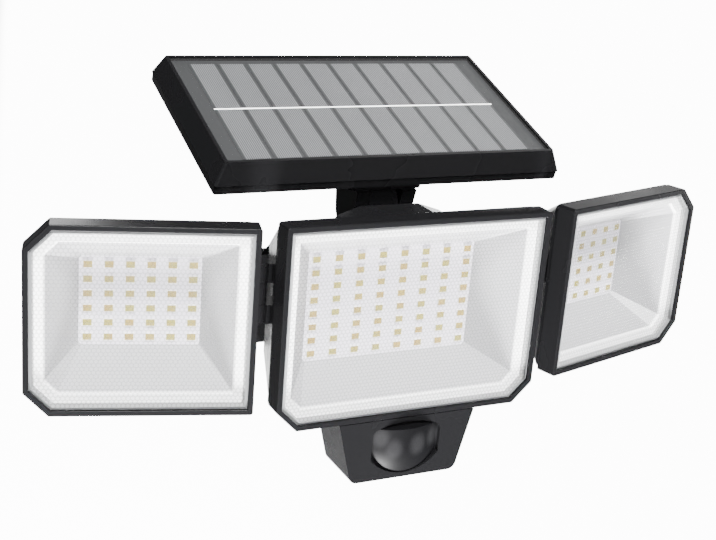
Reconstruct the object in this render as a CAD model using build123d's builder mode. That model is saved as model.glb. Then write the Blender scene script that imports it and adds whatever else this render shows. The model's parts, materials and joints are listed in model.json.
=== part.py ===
from build123d import *
import os
from math import cos, radians, sin, sqrt

# Motion sensor security light: a centre lamp head with a sensor pod below it, two hinged side
# heads and a tilting solar panel, on a bracket that stands off the wall.
# Millimetres. +X is to the viewer's right, +Y goes towards the wall, +Z is up. The origin is the
# middle of the wall bracket's screw pattern, in the plane of the wall.

# ---------------------------------------------------------------------------------------
# Driving dimensions
# ---------------------------------------------------------------------------------------
# Where the heads stand
REACH = 156.0               # wall to the front face of the centre head
HEAD_RISE = 39.0            # middle of the centre head above the wall bracket's middle
SIDE_OFFSET = 141.0         # middle of a side head, sideways from the centre head's middle
SIDE_SETBACK = 13.4         # middle of a side head's face behind the centre head's face
SIDE_RISE = 6.7             # middle of a side head above the centre head's middle
SIDE_YAW = 15.2             # degrees that a side head faces outward

# Lamp heads
CENTRE_WIDTH = 150.0
CENTRE_HEIGHT = 107.5
CENTRE_CUT = 11.3           # slanted lower corners of the centre head
SIDE_WIDTH = 109.6
SIDE_HEIGHT = 95.4
SIDE_CUT = 12.0             # slanted outer corners of a side head
CORNER_RADIUS = 5.0         # the other corners
RIM_DEPTH = 12.0            # bezel, front to back
RIM_FACE = 2.8              # width of the bezel's front edge
RIM_WALL = 2.3              # thickness of the bezel's side walls
RIM_LIP = 2.0               # thickness of the bezel's front lip
RIM_EDGE_RADIUS = 0.8
LENS_THICKNESS = 2.0        # lens sheet behind the lip
LENS_RECESS = 0.7           # lens face behind the bezel's face
LENS_BEVEL = 1.2            # slanted border of the lens face
SEAL_THICKNESS = 1.2
SEAL_WIDTH = 2.4
BAND_WIDTH = 4.2            # flat band of the reflector inside the seal
SHEET = 1.4                 # wall of the reflector
BOARD_DEPTH = 31.7          # LED board's face behind the bezel's face
BOARD_THICKNESS = 1.6
BOARD_MARGIN = 3.0          # board that is hidden under the reflector's floor edge
FLOOR_MARGIN = 4.2          # reflector floor opening beyond the outer LEDs
LED_SIZE = (4.8, 3.9, 0.8)
CENTRE_LED_COUNT = (8, 8)   # columns and rows
CENTRE_PITCH = (12.7, 7.4)
SIDE_LED_COUNT = (6, 6)
SIDE_PITCH = (10.2, 7.55)
WALL = 2.2                  # moulded housing walls
FLANGE = 2.0                # housing flange behind a bezel
SHELL_DEPTH = 41.0          # back of a side head's shell behind its face
SHELL_BACK = (78.0, 64.0)   # width and height of a side head's back
SHELL_EDGE_RADIUS = 3.0
FLANGE_INSET = 0.6          # housing flange inside the bezel's outline
ARM_ROOT = 14.0             # width of the hinge arm where it meets the shell
POST_RADIUS = 2.4           # posts that carry a board
POST_INSET = 1.0            # posts inside the corners of the reflector's floor

# Main housing behind the centre head
PAN_DEPTH = 44.0            # back of the pan behind the centre head's face
PAN_HALF_WIDTH = 65.5
PAN_TOP = 36.0
PAN_BOTTOM = 45.0
PAN_CUT = (9.0, 18.0)       # slanted lower corners of the pan's back
BOX_DEPTH = 72.0            # back of the housing's rear box
BOX_HALF_WIDTH = 48.0
BOX_TOP = 14.0
BOX_BOTTOM = 52.0
BOX_CUT = 12.0
BOX_SHOULDER = 6.0
PAN_SHOULDER = (6.0, 4.0)   # slanted upper corners of the pan's back
PAN_INSET = 1.2             # pan's wall inside the flange
PAN_WINDOW = (48.0, 24.0)   # way through from the pan to the rear box
REAR_SEAL = 0.8
COVER_WALL = 3.0
COVER_EDGE_RADIUS = 3.0
PAD_THICKNESS = 4.0         # seat of the wall bracket on the rear cover
PAD_LIFT = 6.0              # seat's middle above the wall bracket's middle
COVER_BOSS_RADIUS = 3.6
COVER_HEAD_RADIUS = 2.8
COVER_HEAD_DEPTH = 2.6
COVER_BOSSES = ((41.0, 7.0), (40.5, -34.0))     # sideways and above the centre head's middle

# Sensor pod
POD_TOP_HALF = 39.8         # half widths of the pod's face
POD_BOTTOM_HALF = 31.0
POD_BOTTOM = 88.5           # below the centre head's middle
POD_DEPTH = 30.0
POD_CORNER = 5.0
EYE_HALF_WIDTH = 20.0       # opening of the sensor eye
EYE_LOW = (76.4, 86.0)      # ends and lowest point of the bowl, below the head's middle
EYE_ARCH = (60.5, 56.2)     # feet and crown of the shallow arch at the top
EYE_LENS_TOP = 59.0         # flat top of the lens
EYE_BEND = 70.0             # where the lens starts to curve back
EYE_CORNER = 4.0
EYE_PROUD = 3.4             # lens before the pod's face, in the middle
BARREL_RADIUS = 34.8        # lens about its upright axis
BARREL_LOW_RADIUS = 30.6    # at the lowest edge of the eye
EYE_SHELL = 1.2
EYE_FLANGE = (46.0, 1.4)    # width and thickness
SENSOR_DROP = 71.3          # sensor below the centre head's middle
SENSOR_BOARD = (46.0, 21.0, 1.6)
SENSOR_BOARD_DEPTH = 20.0
SENSOR_POST_INSET = 4.0     # posts inside the board's edges
SENSOR_CAN = (4.6, 4.2)     # radius and height
SENSOR_BRIM = 0.5           # width and thickness of the can's brim
SENSOR_WINDOW = (4.0, 3.0, 0.4)

# Side hinges
HINGE_OFFSET = 77.0         # hinge axis, sideways from the middle
HINGE_SETBACK = 36.0        # hinge axis behind the centre head's face
HINGE_RISE = 10.2           # middle of the knuckles above the centre head's middle
KNUCKLE_RADIUS = 7.2
KNUCKLE_HEIGHT = 11.4       # side head's knuckle
EAR_HEIGHT = 10.0           # each ear of the main housing
HINGE_GAP = 0.3             # between knuckle and ears
HINGE_BOLT_RADIUS = 2.0
HINGE_FIT = 0.06            # radial, bolt to bores
HINGE_NUT = (7.0, 3.2)      # across flats and thickness
EAR_REACH = 11.0            # from the hinge axis into the pan's wall

# Panel joint
TILT_SETBACK = 58.5         # tilt axis behind the centre head's face
TILT_RISE = 46.5            # tilt axis above the centre head's middle
PANEL_TILT = 19.1           # degrees, front edge low
FORK_RADIUS = 10.0
FORK_WIDTH = 35.0
CHEEK = 8.2                 # thickness of each fork cheek
CHEEK_DROP = 4.0            # rounded end of a cheek below the tilt axis
CHEEK_BACK = 18.0           # rear corner of a cheek at the foot, behind the axis
TILT_GAP = 0.3
TILT_BOLT_RADIUS = 2.5
TILT_FIT = 0.06
FOOT_SIZE = (43.0, 66.0, 5.0)
FOOT_FRONT = 8.0            # foot's front edge before the tilt axis
FOOT_CORNER = 3.0
FOOT_SCREWS = (32.6, 28.0)
FOOT_SCREW_SHIFT = 12.0     # screws' middle behind the foot's middle
FOOT_SCREW_RADIUS = 2.0
FOOT_SCREW_SKIN = 0.8       # left of the under cover over each screw
RIB = 3.0                   # thickness of the foot's ribs
RIB_LENGTH = 46.0
RIB_END = 3.0
TILT_NUT = (8.0, 4.0)       # across flats and thickness
NUT_SEAT = 14.3             # nut's outer face, sideways from the middle
MOUND = ((17.0, 49.8), (30.0, 45.6), (39.0, 33.0))      # half widths above the head's middle
MOUND_FRONT = 20.0
MOUND_BACK = 41.5
LUG_ROOT_INSET = (2.5, 3.5)     # housing knuckle's root inside the pan's and the box's backs

# Solar panel, in its own plane
PANEL_TOP = (190.0, 105.0)      # top edge of the frame
PANEL_LIP = (200.0, 112.4)      # flared lower edge
PANEL_OFFSET = 40.1             # middle of the panel behind the tilt axis
PANEL_RISE = 37.2               # panel's face above the tilt axis
PANEL_FLARE = 11.5              # height of the flared side
PANEL_CORNER = 1.4
PANEL_BORDER = 1.8              # frame's edge round the glass
GLASS_THICKNESS = 1.1
GLASS_RECESS = 0.9
CELL_THICKNESS = 0.2
CELL_SHEET = 1.5                # board that carries the cells
CELL_COUNT = 10
CELL_AREA = (167.0, 93.4)
CELL_GAP = 0.5
RIBBON = (1.2, 0.08)
LEDGE = (6.0, 2.0)              # width and thickness of the seat of the cell board
UNDER_COVER = 4.8
UNDER_INSET = 0.4
PEDESTAL_RISE = 2.3             # pad between under cover and foot
FRAME_WALL = 3.0
FRAME_BOSS_RADIUS = 3.4
GLASS_FIT = 0.15
LOCATING_RIM = (1.6, 2.4)       # thickness and height
UNDER_SCREWS = (182.0, 92.0)
UNDER_SCREW_RADIUS = 1.5
UNDER_SCREW_GRIP = 5.0

# Power
BATTERY_RADIUS = 9.2
BATTERY_LENGTH = 65.0
BATTERY_PITCH = 20.4
CONTROL_BOARD = (66.0, 46.0, 1.6)
CONTROL_SCREW_RADIUS = 1.25
COVER_SCREW_RADIUS = 1.5
COVER_SCREW_GRIP = 9.0      # thread inside the housing's boss
CONTROL_INSET = 10.0        # control board before the rear box's back
CONTROL_POST_INSET = (5.0, 4.0)
CONTROL_SCREW_GRIP = 6.0
CHIP = (9.0, 7.0, 1.8)
COIL = (4.0, 4.5)           # radius and height
CAPACITOR = (3.2, 7.0)      # radius and height, the tallest part on the board
PLUG_STRIP = (18.0, 5.0, 5.5)
BATTERY_GAP = 6.25          # between the capacitor and the cells
CONTACT = 0.4               # thickness of a battery contact
HOLDER_BASE = 1.6
HOLDER_WALL = 2.0
SADDLE = 6.0                # height of the saddles under the cells
SADDLE_SPREAD = 20.0
SWITCH = (6.0, 4.4, 5.0)
SWITCH_STEM = (1.6, 1.2)    # radius and length
BUTTON_RADIUS = 4.5
BUTTON_OFFSET = 20.0            # sideways from the middle
BUTTON_PROUD = 2.6
BUTTON_TRAVEL = 1.2
BUTTON_EDGE = 0.8
BUTTON_COLLAR = 1.2         # width and thickness
BUTTON_INSET = 5.8          # button before the rear box's back

# Wall bracket
BRACKET_PLATE = (60.0, 46.0, 4.0)
POST_SIZE = (44.0, 34.0)    # at the rear cover
POST_FOOT = (50.0, 42.0)    # at the wall
POST_WALL = 3.4
WALL_PLATE = (104.0, 60.0, 5.0)
WALL_PLATE_CORNER = 8.0
WALL_PLATE_EDGE = 1.2
WALL_HOLE_RADIUS = 2.6
WALL_HOLE_SPACING = (86.0, 42.0)
GUSSET = (16.0, 14.0, 3.0)
BRACKET_SCREWS = (26.0, 16.0)
BRACKET_SCREW_RADIUS = 2.0
BRACKET_SCREW_GRIP = 6.0

# Fits
SEAT = 0.05                 # between faces that rest on each other
SLIP = 0.3                  # between loose pieces
SCREW_FIT = 0.05            # radial, screw in its thread

os.makedirs("parts", exist_ok=True)

# ---------------------------------------------------------------------------------------
# Planes of the four bodies
# ---------------------------------------------------------------------------------------


def head_face(across, setback, rise, yaw):
    """Plane of a head's front face: x to the right along the face, y up, z to the viewer."""
    turn = radians(yaw)
    return Plane(
        origin=(across, setback - REACH, HEAD_RISE + rise),
        x_dir=(cos(turn), sin(turn), 0),
        z_dir=(sin(turn), -cos(turn), 0),
    )


def level(face, across, depth, rise):
    """Level plane in a head's frame: x along the face, y backwards, z up."""
    point = face.from_local_coords(Vector(across, rise, -depth))
    return Plane(origin=point, x_dir=face.x_dir, z_dir=(0, 0, 1))


FACE = head_face(0, 0, 0, 0)
LEFT_FACE = head_face(-SIDE_OFFSET, SIDE_SETBACK, SIDE_RISE, -SIDE_YAW)
RIGHT_FACE = head_face(SIDE_OFFSET, SIDE_SETBACK, SIDE_RISE, SIDE_YAW)

slope = radians(PANEL_TILT)
PANEL = Plane(
    origin=(0, TILT_SETBACK - REACH, HEAD_RISE + TILT_RISE),
    x_dir=(1, 0, 0),
    z_dir=(0, -sin(slope), cos(slope)),
)
PANEL_MIDDLE = Plane(
    origin=PANEL.from_local_coords(Vector(0, PANEL_OFFSET, 0)), x_dir=(1, 0, 0), z_dir=PANEL.z_dir
)

# ---------------------------------------------------------------------------------------
# Outlines
# ---------------------------------------------------------------------------------------


def head_outline(plane, width, height, cut_side, cut, inset=0.0, radius=CORNER_RADIUS):
    """Head's front view, drawn smaller by the inset: two slanted and two rounded corners."""
    side = Axis.Y if cut_side == "bottom" else Axis.X
    low_side = cut_side in ("bottom", "left")
    with BuildSketch(plane) as outline:
        Rectangle(width - 2 * inset, height - 2 * inset)
        groups = outline.vertices().group_by(side)
        chamfer(groups[0] if low_side else groups[-1], max(cut - (2 - sqrt(2)) * inset, 1.0))
        groups = outline.vertices().group_by(side)
        fillet(groups[-1] if low_side else groups[0], max(radius - inset, 0.8))
    return outline.sketch


def cut_box(plane, half_width, top, bottom, low_cut, high_cut, inset=0.0):
    """Box outline with slanted lower corners and smaller slanted upper corners."""
    w = half_width - inset
    t = top - inset
    b = bottom - inset
    lx, lz = low_cut
    hx, hz = high_cut
    with BuildSketch(plane) as outline:
        with BuildLine():
            Polyline(
                (-w + hx, t), (w - hx, t), (w, t - hz), (w, lz - b),
                (w - lx, -b), (lx - w, -b), (-w, lz - b), (-w, t - hz),
                close=True,
            )
        make_face()
    return outline.sketch


def ring(plane, width, height, cut_side, cut, outer_inset, inner_inset):
    """Flat ring between two insets of a head's outline."""
    with BuildSketch(plane) as outline:
        add(head_outline(Plane.XY, width, height, cut_side, cut, outer_inset))
        add(head_outline(Plane.XY, width, height, cut_side, cut, inner_inset), mode=Mode.SUBTRACT)
    return outline.sketch


def disc(plane, radius, x=0.0, y=0.0):
    """Circle at a place in a plane."""
    with BuildSketch(plane) as outline:
        with Locations((x, y)):
            Circle(radius)
    return outline.sketch


def block(plane, size, x=0.0, y=0.0, radius=0.0):
    """Rectangle at a place in a plane, with rounded corners where a radius is given."""
    with BuildSketch(plane) as outline:
        with Locations((x, y)):
            if radius > 0:
                RectangleRounded(size[0], size[1], radius)
            else:
                Rectangle(size[0], size[1])
    return outline.sketch


def finish(piece, name):
    """Label a finished piece and write it."""
    piece.part.label = name
    export_step(piece.part, f"parts/{name}.step")


def make_screws(name, planes, shank, length, head, head_height):
    """Screws with chamfered heads, one on each plane, heads on the side that the plane faces."""
    with BuildPart() as screws:
        for plane in planes:
            side = Plane(
                origin=plane.origin, x_dir=plane.x_dir, z_dir=plane.x_dir.cross(plane.z_dir)
            )
            with BuildSketch(side):
                with BuildLine():
                    Polyline(
                        (0, head_height), (0, -length), (shank, -length), (shank, 0), (head, 0),
                        (head, head_height * 0.6), (head * 0.8, head_height),
                        close=True,
                    )
                make_face()
            revolve(axis=Axis(plane.origin, plane.z_dir))
    finish(screws, name)


# ---------------------------------------------------------------------------------------
# Depths of the layers behind a head's face
# ---------------------------------------------------------------------------------------
INNER_INSET = RIM_WALL + SLIP                               # outer edge of what sits in a bezel
SEAL_INSET = INNER_INSET + SEAL_WIDTH
BAND_INSET = SEAL_INSET + BAND_WIDTH
LENS_DEPTH = RIM_LIP + SEAT
SEAL_DEPTH = LENS_DEPTH + LENS_THICKNESS + SEAT
REFLECTOR_DEPTH = SEAL_DEPTH + SEAL_THICKNESS + SEAT
RIM_SEAT_DEPTH = REFLECTOR_DEPTH + SHEET + SEAT             # front edge of a housing's rim
FLANGE_DEPTH = RIM_DEPTH + SEAT
PAN_FRONT_DEPTH = FLANGE_DEPTH + FLANGE
BOARD_BACK = BOARD_DEPTH + BOARD_THICKNESS + SEAT
LUG_HALF = FORK_WIDTH / 2 - CHEEK - TILT_GAP                # half the housing knuckle's width


def floor_size(leds, pitch, margin=0.0):
    """Opening of a reflector's floor round its LEDs, plus a margin on each side."""
    return (
        (leds[0] - 1) * pitch[0] + 2 * (FLOOR_MARGIN + margin),
        (leds[1] - 1) * pitch[1] + 2 * (FLOOR_MARGIN + margin),
    )


# ---------------------------------------------------------------------------------------
# Pieces that every head has
# ---------------------------------------------------------------------------------------
def make_bezel(name, face, width, height, cut_side, cut):
    """Black frame that holds the lens: a front lip and a side wall all round."""
    outward = Axis(face.origin, face.z_dir)
    with BuildPart() as bezel:
        extrude(head_outline(face, width, height, cut_side, cut), amount=-RIM_DEPTH)
        fillet(bezel.faces().sort_by(outward)[-1].edges(), RIM_EDGE_RADIUS)
        opening = head_outline(face, width, height, cut_side, cut, RIM_FACE)
        extrude(opening, amount=-RIM_LIP, mode=Mode.SUBTRACT)
        rebate = head_outline(face.offset(-RIM_LIP), width, height, cut_side, cut, RIM_WALL)
        extrude(rebate, amount=RIM_LIP - RIM_DEPTH, mode=Mode.SUBTRACT)
    finish(bezel, name)


def make_lens(name, face, width, height, cut_side, cut):
    """Clear sheet with a raised middle that fills the bezel's opening."""
    outward = Axis(face.origin, face.z_dir)
    seat = face.offset(-LENS_DEPTH)
    with BuildPart() as lens:
        raised = head_outline(seat, width, height, cut_side, cut, RIM_FACE + SLIP)
        extrude(raised, amount=LENS_DEPTH - LENS_RECESS)
        chamfer(lens.faces().sort_by(outward)[-1].edges(), LENS_BEVEL)
        sheet = head_outline(seat, width, height, cut_side, cut, INNER_INSET)
        extrude(sheet, amount=-LENS_THICKNESS)
    finish(lens, name)


def make_lens_seal(name, face, width, height, cut_side, cut):
    """Soft ring between the lens and the reflector's rim."""
    with BuildPart() as seal:
        flat = ring(face.offset(-SEAL_DEPTH), width, height, cut_side, cut, INNER_INSET, SEAL_INSET)
        extrude(flat, amount=-SEAL_THICKNESS)
    finish(seal, name)


def make_reflector(name, face, width, height, cut_side, cut, leds, pitch):
    """White pan: a flat band under the lens, then four walls that slope to the LED board."""
    top = face.offset(-REFLECTOR_DEPTH)
    floor = face.offset(-BOARD_DEPTH + SEAT)
    inner_floor = floor_size(leds, pitch)
    outer_floor = floor_size(leds, pitch, SHEET)
    with BuildPart() as reflector:
        extrude(head_outline(top, width, height, cut_side, cut, INNER_INSET), amount=-SHEET)
        outer_top = head_outline(top, width, height, cut_side, cut, BAND_INSET - SHEET)
        outer_low = head_outline(floor, *outer_floor, cut_side, SHEET * 2, radius=SHEET * 2)
        loft([outer_top, outer_low], ruled=True)
        inner_top = head_outline(top, width, height, cut_side, cut, BAND_INSET)
        inner_low = head_outline(floor, *inner_floor, cut_side, SHEET, radius=SHEET)
        loft([inner_top, inner_low], ruled=True, mode=Mode.SUBTRACT)
    finish(reflector, name)


def make_led_board(name, face, leds, pitch):
    """White board that closes the reflector's floor."""
    with BuildPart() as board:
        extrude(
            block(face.offset(-BOARD_DEPTH), floor_size(leds, pitch, BOARD_MARGIN)),
            amount=-BOARD_THICKNESS,
        )
    finish(board, name)


def make_leds(name, face, leds, pitch):
    """Grid of flat LED packages on the board."""
    with BuildPart() as packages:
        with BuildSketch(face.offset(-BOARD_DEPTH + SEAT)):
            with GridLocations(*pitch, *leds):
                Rectangle(LED_SIZE[0], LED_SIZE[1])
        extrude(amount=LED_SIZE[2])
    finish(packages, name)


def make_head_front(prefix, face, width, height, cut_side, cut, leds, pitch):
    """All the pieces in front of a head's housing."""
    make_bezel(f"{prefix}_bezel", face, width, height, cut_side, cut)
    make_lens(f"{prefix}_lens", face, width, height, cut_side, cut)
    make_lens_seal(f"{prefix}_lens_seal", face, width, height, cut_side, cut)
    make_reflector(f"{prefix}_reflector", face, width, height, cut_side, cut, leds, pitch)
    make_led_board(f"{prefix}_led_board", face, leds, pitch)
    make_leds(f"{prefix}_leds", face, leds, pitch)


make_head_front(
    "centre", FACE, CENTRE_WIDTH, CENTRE_HEIGHT, "bottom", CENTRE_CUT, CENTRE_LED_COUNT, CENTRE_PITCH
)
SIDES = (("left", LEFT_FACE, -1), ("right", RIGHT_FACE, 1))
for side_name, side_face, side_sign in SIDES:
    make_head_front(
        side_name, side_face, SIDE_WIDTH, SIDE_HEIGHT, side_name, SIDE_CUT, SIDE_LED_COUNT, SIDE_PITCH
    )

# ---------------------------------------------------------------------------------------
# Side head shells
# ---------------------------------------------------------------------------------------
KNUCKLE_LOW = HINGE_RISE - KNUCKLE_HEIGHT / 2
KNUCKLE_HIGH = HINGE_RISE + KNUCKLE_HEIGHT / 2
EARS_LOW = KNUCKLE_LOW - HINGE_GAP - EAR_HEIGHT
EARS_HIGH = KNUCKLE_HIGH + HINGE_GAP + EAR_HEIGHT


def make_side_shell(name, face, cut_side, sign):
    """Back housing of a side head, with the arm and knuckle of its hinge."""
    size = (SIDE_WIDTH, SIDE_HEIGHT, cut_side, SIDE_CUT)
    axis = face.to_local_coords(
        Vector(sign * HINGE_OFFSET, HINGE_SETBACK - REACH, HEAD_RISE + KNUCKLE_LOW)
    )
    arm_plane = level(face, axis.X, -axis.Z, axis.Y)
    root = Vector(sign * -SHELL_BACK[0] / 2 - axis.X, SHELL_DEPTH + axis.Z - ARM_ROOT / 2)
    with BuildPart() as shell:
        extrude(
            head_outline(face.offset(-RIM_SEAT_DEPTH), *size, INNER_INSET),
            amount=RIM_SEAT_DEPTH - PAN_FRONT_DEPTH,
        )
        extrude(head_outline(face.offset(-FLANGE_DEPTH), *size, FLANGE_INSET), amount=-FLANGE)
        back = face.offset(-SHELL_DEPTH)
        outer_front = head_outline(face.offset(-PAN_FRONT_DEPTH), *size, FLANGE_INSET)
        outer_back = head_outline(back, *SHELL_BACK, cut_side, SIDE_CUT * 0.7)
        loft([outer_front, outer_back], ruled=True)
        fillet(shell.faces().sort_by(Axis(face.origin, face.z_dir))[0].edges(), SHELL_EDGE_RADIUS)
        with BuildSketch(arm_plane):
            Circle(KNUCKLE_RADIUS * 0.8)
            with Locations((root.X, root.Y)):
                Rectangle(ARM_ROOT, ARM_ROOT)
            make_hull()
        extrude(amount=KNUCKLE_HEIGHT)
        extrude(disc(arm_plane, KNUCKLE_RADIUS), amount=KNUCKLE_HEIGHT)
        inner_front = head_outline(face.offset(-RIM_SEAT_DEPTH), *size, INNER_INSET + WALL)
        inner_back = head_outline(
            face.offset(WALL - SHELL_DEPTH), *SHELL_BACK, cut_side, SIDE_CUT * 0.7, WALL
        )
        loft([inner_front, inner_back], ruled=True, mode=Mode.SUBTRACT)
        extrude(
            disc(arm_plane, HINGE_BOLT_RADIUS + HINGE_FIT),
            amount=KNUCKLE_HEIGHT,
            mode=Mode.SUBTRACT,
        )
        posts = floor_size(SIDE_LED_COUNT, SIDE_PITCH, -POST_INSET)
        with BuildSketch(face.offset(WALL - SHELL_DEPTH)):
            with GridLocations(*posts, 2, 2):
                Circle(POST_RADIUS)
        extrude(amount=SHELL_DEPTH - WALL - BOARD_BACK)
    finish(shell, name)


for side_name, side_face, side_sign in SIDES:
    make_side_shell(f"{side_name}_shell", side_face, side_name, side_sign)

# ---------------------------------------------------------------------------------------
# Main housing: pan behind the centre head, rear box, sensor pod, hinge ears, panel knuckle
# ---------------------------------------------------------------------------------------
POD_TOP = CENTRE_HEIGHT / 2                 # where the pod meets the bezel
POD_SLOPE = (POD_TOP_HALF - POD_BOTTOM_HALF) / (POD_BOTTOM - POD_TOP)
BOX_MIDDLE = (BOX_TOP - BOX_BOTTOM) / 2
POD_BACK = POD_DEPTH - WALL
PAN_BACK = PAN_DEPTH - WALL
CONTROL_MIDDLE = BOX_MIDDLE
CONTROL_DEPTH = BOX_DEPTH - CONTROL_INSET
CONTROL_POSTS = (
    CONTROL_BOARD[0] - 2 * CONTROL_POST_INSET[0], CONTROL_BOARD[1] - 2 * CONTROL_POST_INSET[1]
)
SENSOR_POSTS = (SENSOR_BOARD[0] - 2 * SENSOR_POST_INSET, SENSOR_BOARD[1] - 2 * SENSOR_POST_INSET)
BUTTON_SETBACK = BOX_DEPTH - BUTTON_INSET
LUG_FRONT = PAN_DEPTH + LUG_ROOT_INSET[0] - TILT_SETBACK    # behind the tilt axis
LUG_BACK = BOX_DEPTH - LUG_ROOT_INSET[1] - TILT_SETBACK


def box_outline(depth, inset=0.0):
    """Front view of the rear box at a depth."""
    low = (BOX_CUT, BOX_CUT)
    high = (BOX_SHOULDER, BOX_SHOULDER)
    return cut_box(FACE.offset(-depth), BOX_HALF_WIDTH, BOX_TOP, BOX_BOTTOM, low, high, inset)


def pod_outline(plane, top, inset=0.0):
    """Front view of the sensor pod: narrower towards its rounded bottom."""
    top_half = POD_TOP_HALF + POD_SLOPE * (POD_TOP - top) - inset
    low_half = POD_BOTTOM_HALF - inset
    low = POD_BOTTOM - inset
    with BuildSketch(plane) as outline:
        with BuildLine():
            Polyline((-top_half, -top), (top_half, -top), (low_half, -low), (-low_half, -low), close=True)
        make_face()
        fillet(outline.vertices().group_by(Axis.Y)[0], POD_CORNER - inset)
    return outline.sketch


def eye_outline(plane, inset=0.0):
    """Front view of the sensor eye: shallow arch above, bowl below."""
    half = EYE_HALF_WIDTH - inset
    arch_foot = (half, -EYE_ARCH[0] - inset)
    bowl_foot = (half, -EYE_LOW[0] + inset / 2)
    with BuildSketch(plane) as outline:
        with BuildLine():
            ThreePointArc((-half, bowl_foot[1]), (0, -EYE_LOW[1] + inset), bowl_foot)
            Line(bowl_foot, arch_foot)
            ThreePointArc(arch_foot, (0, -EYE_ARCH[1] - inset), (-half, arch_foot[1]))
            Line((-half, arch_foot[1]), (-half, bowl_foot[1]))
        make_face()
        fillet(outline.vertices().group_by(Axis.Y)[-1], EYE_CORNER - inset)
    return outline.sketch


def tilt_side(x):
    """Upright plane across the tilt axis: x backwards, y up."""
    return Plane(origin=(x, PANEL.origin.Y, PANEL.origin.Z), x_dir=(0, 1, 0), z_dir=(1, 0, 0))


def ear_outline(plane, sign):
    """Ear that reaches from the pan's wall to the hinge axis, rounded about the axis."""
    with BuildSketch(plane) as outline:
        Circle(KNUCKLE_RADIUS)
        with Locations((-sign * EAR_REACH, 0)):
            Rectangle(EAR_REACH, 2 * KNUCKLE_RADIUS)
    return outline.sketch


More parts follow.
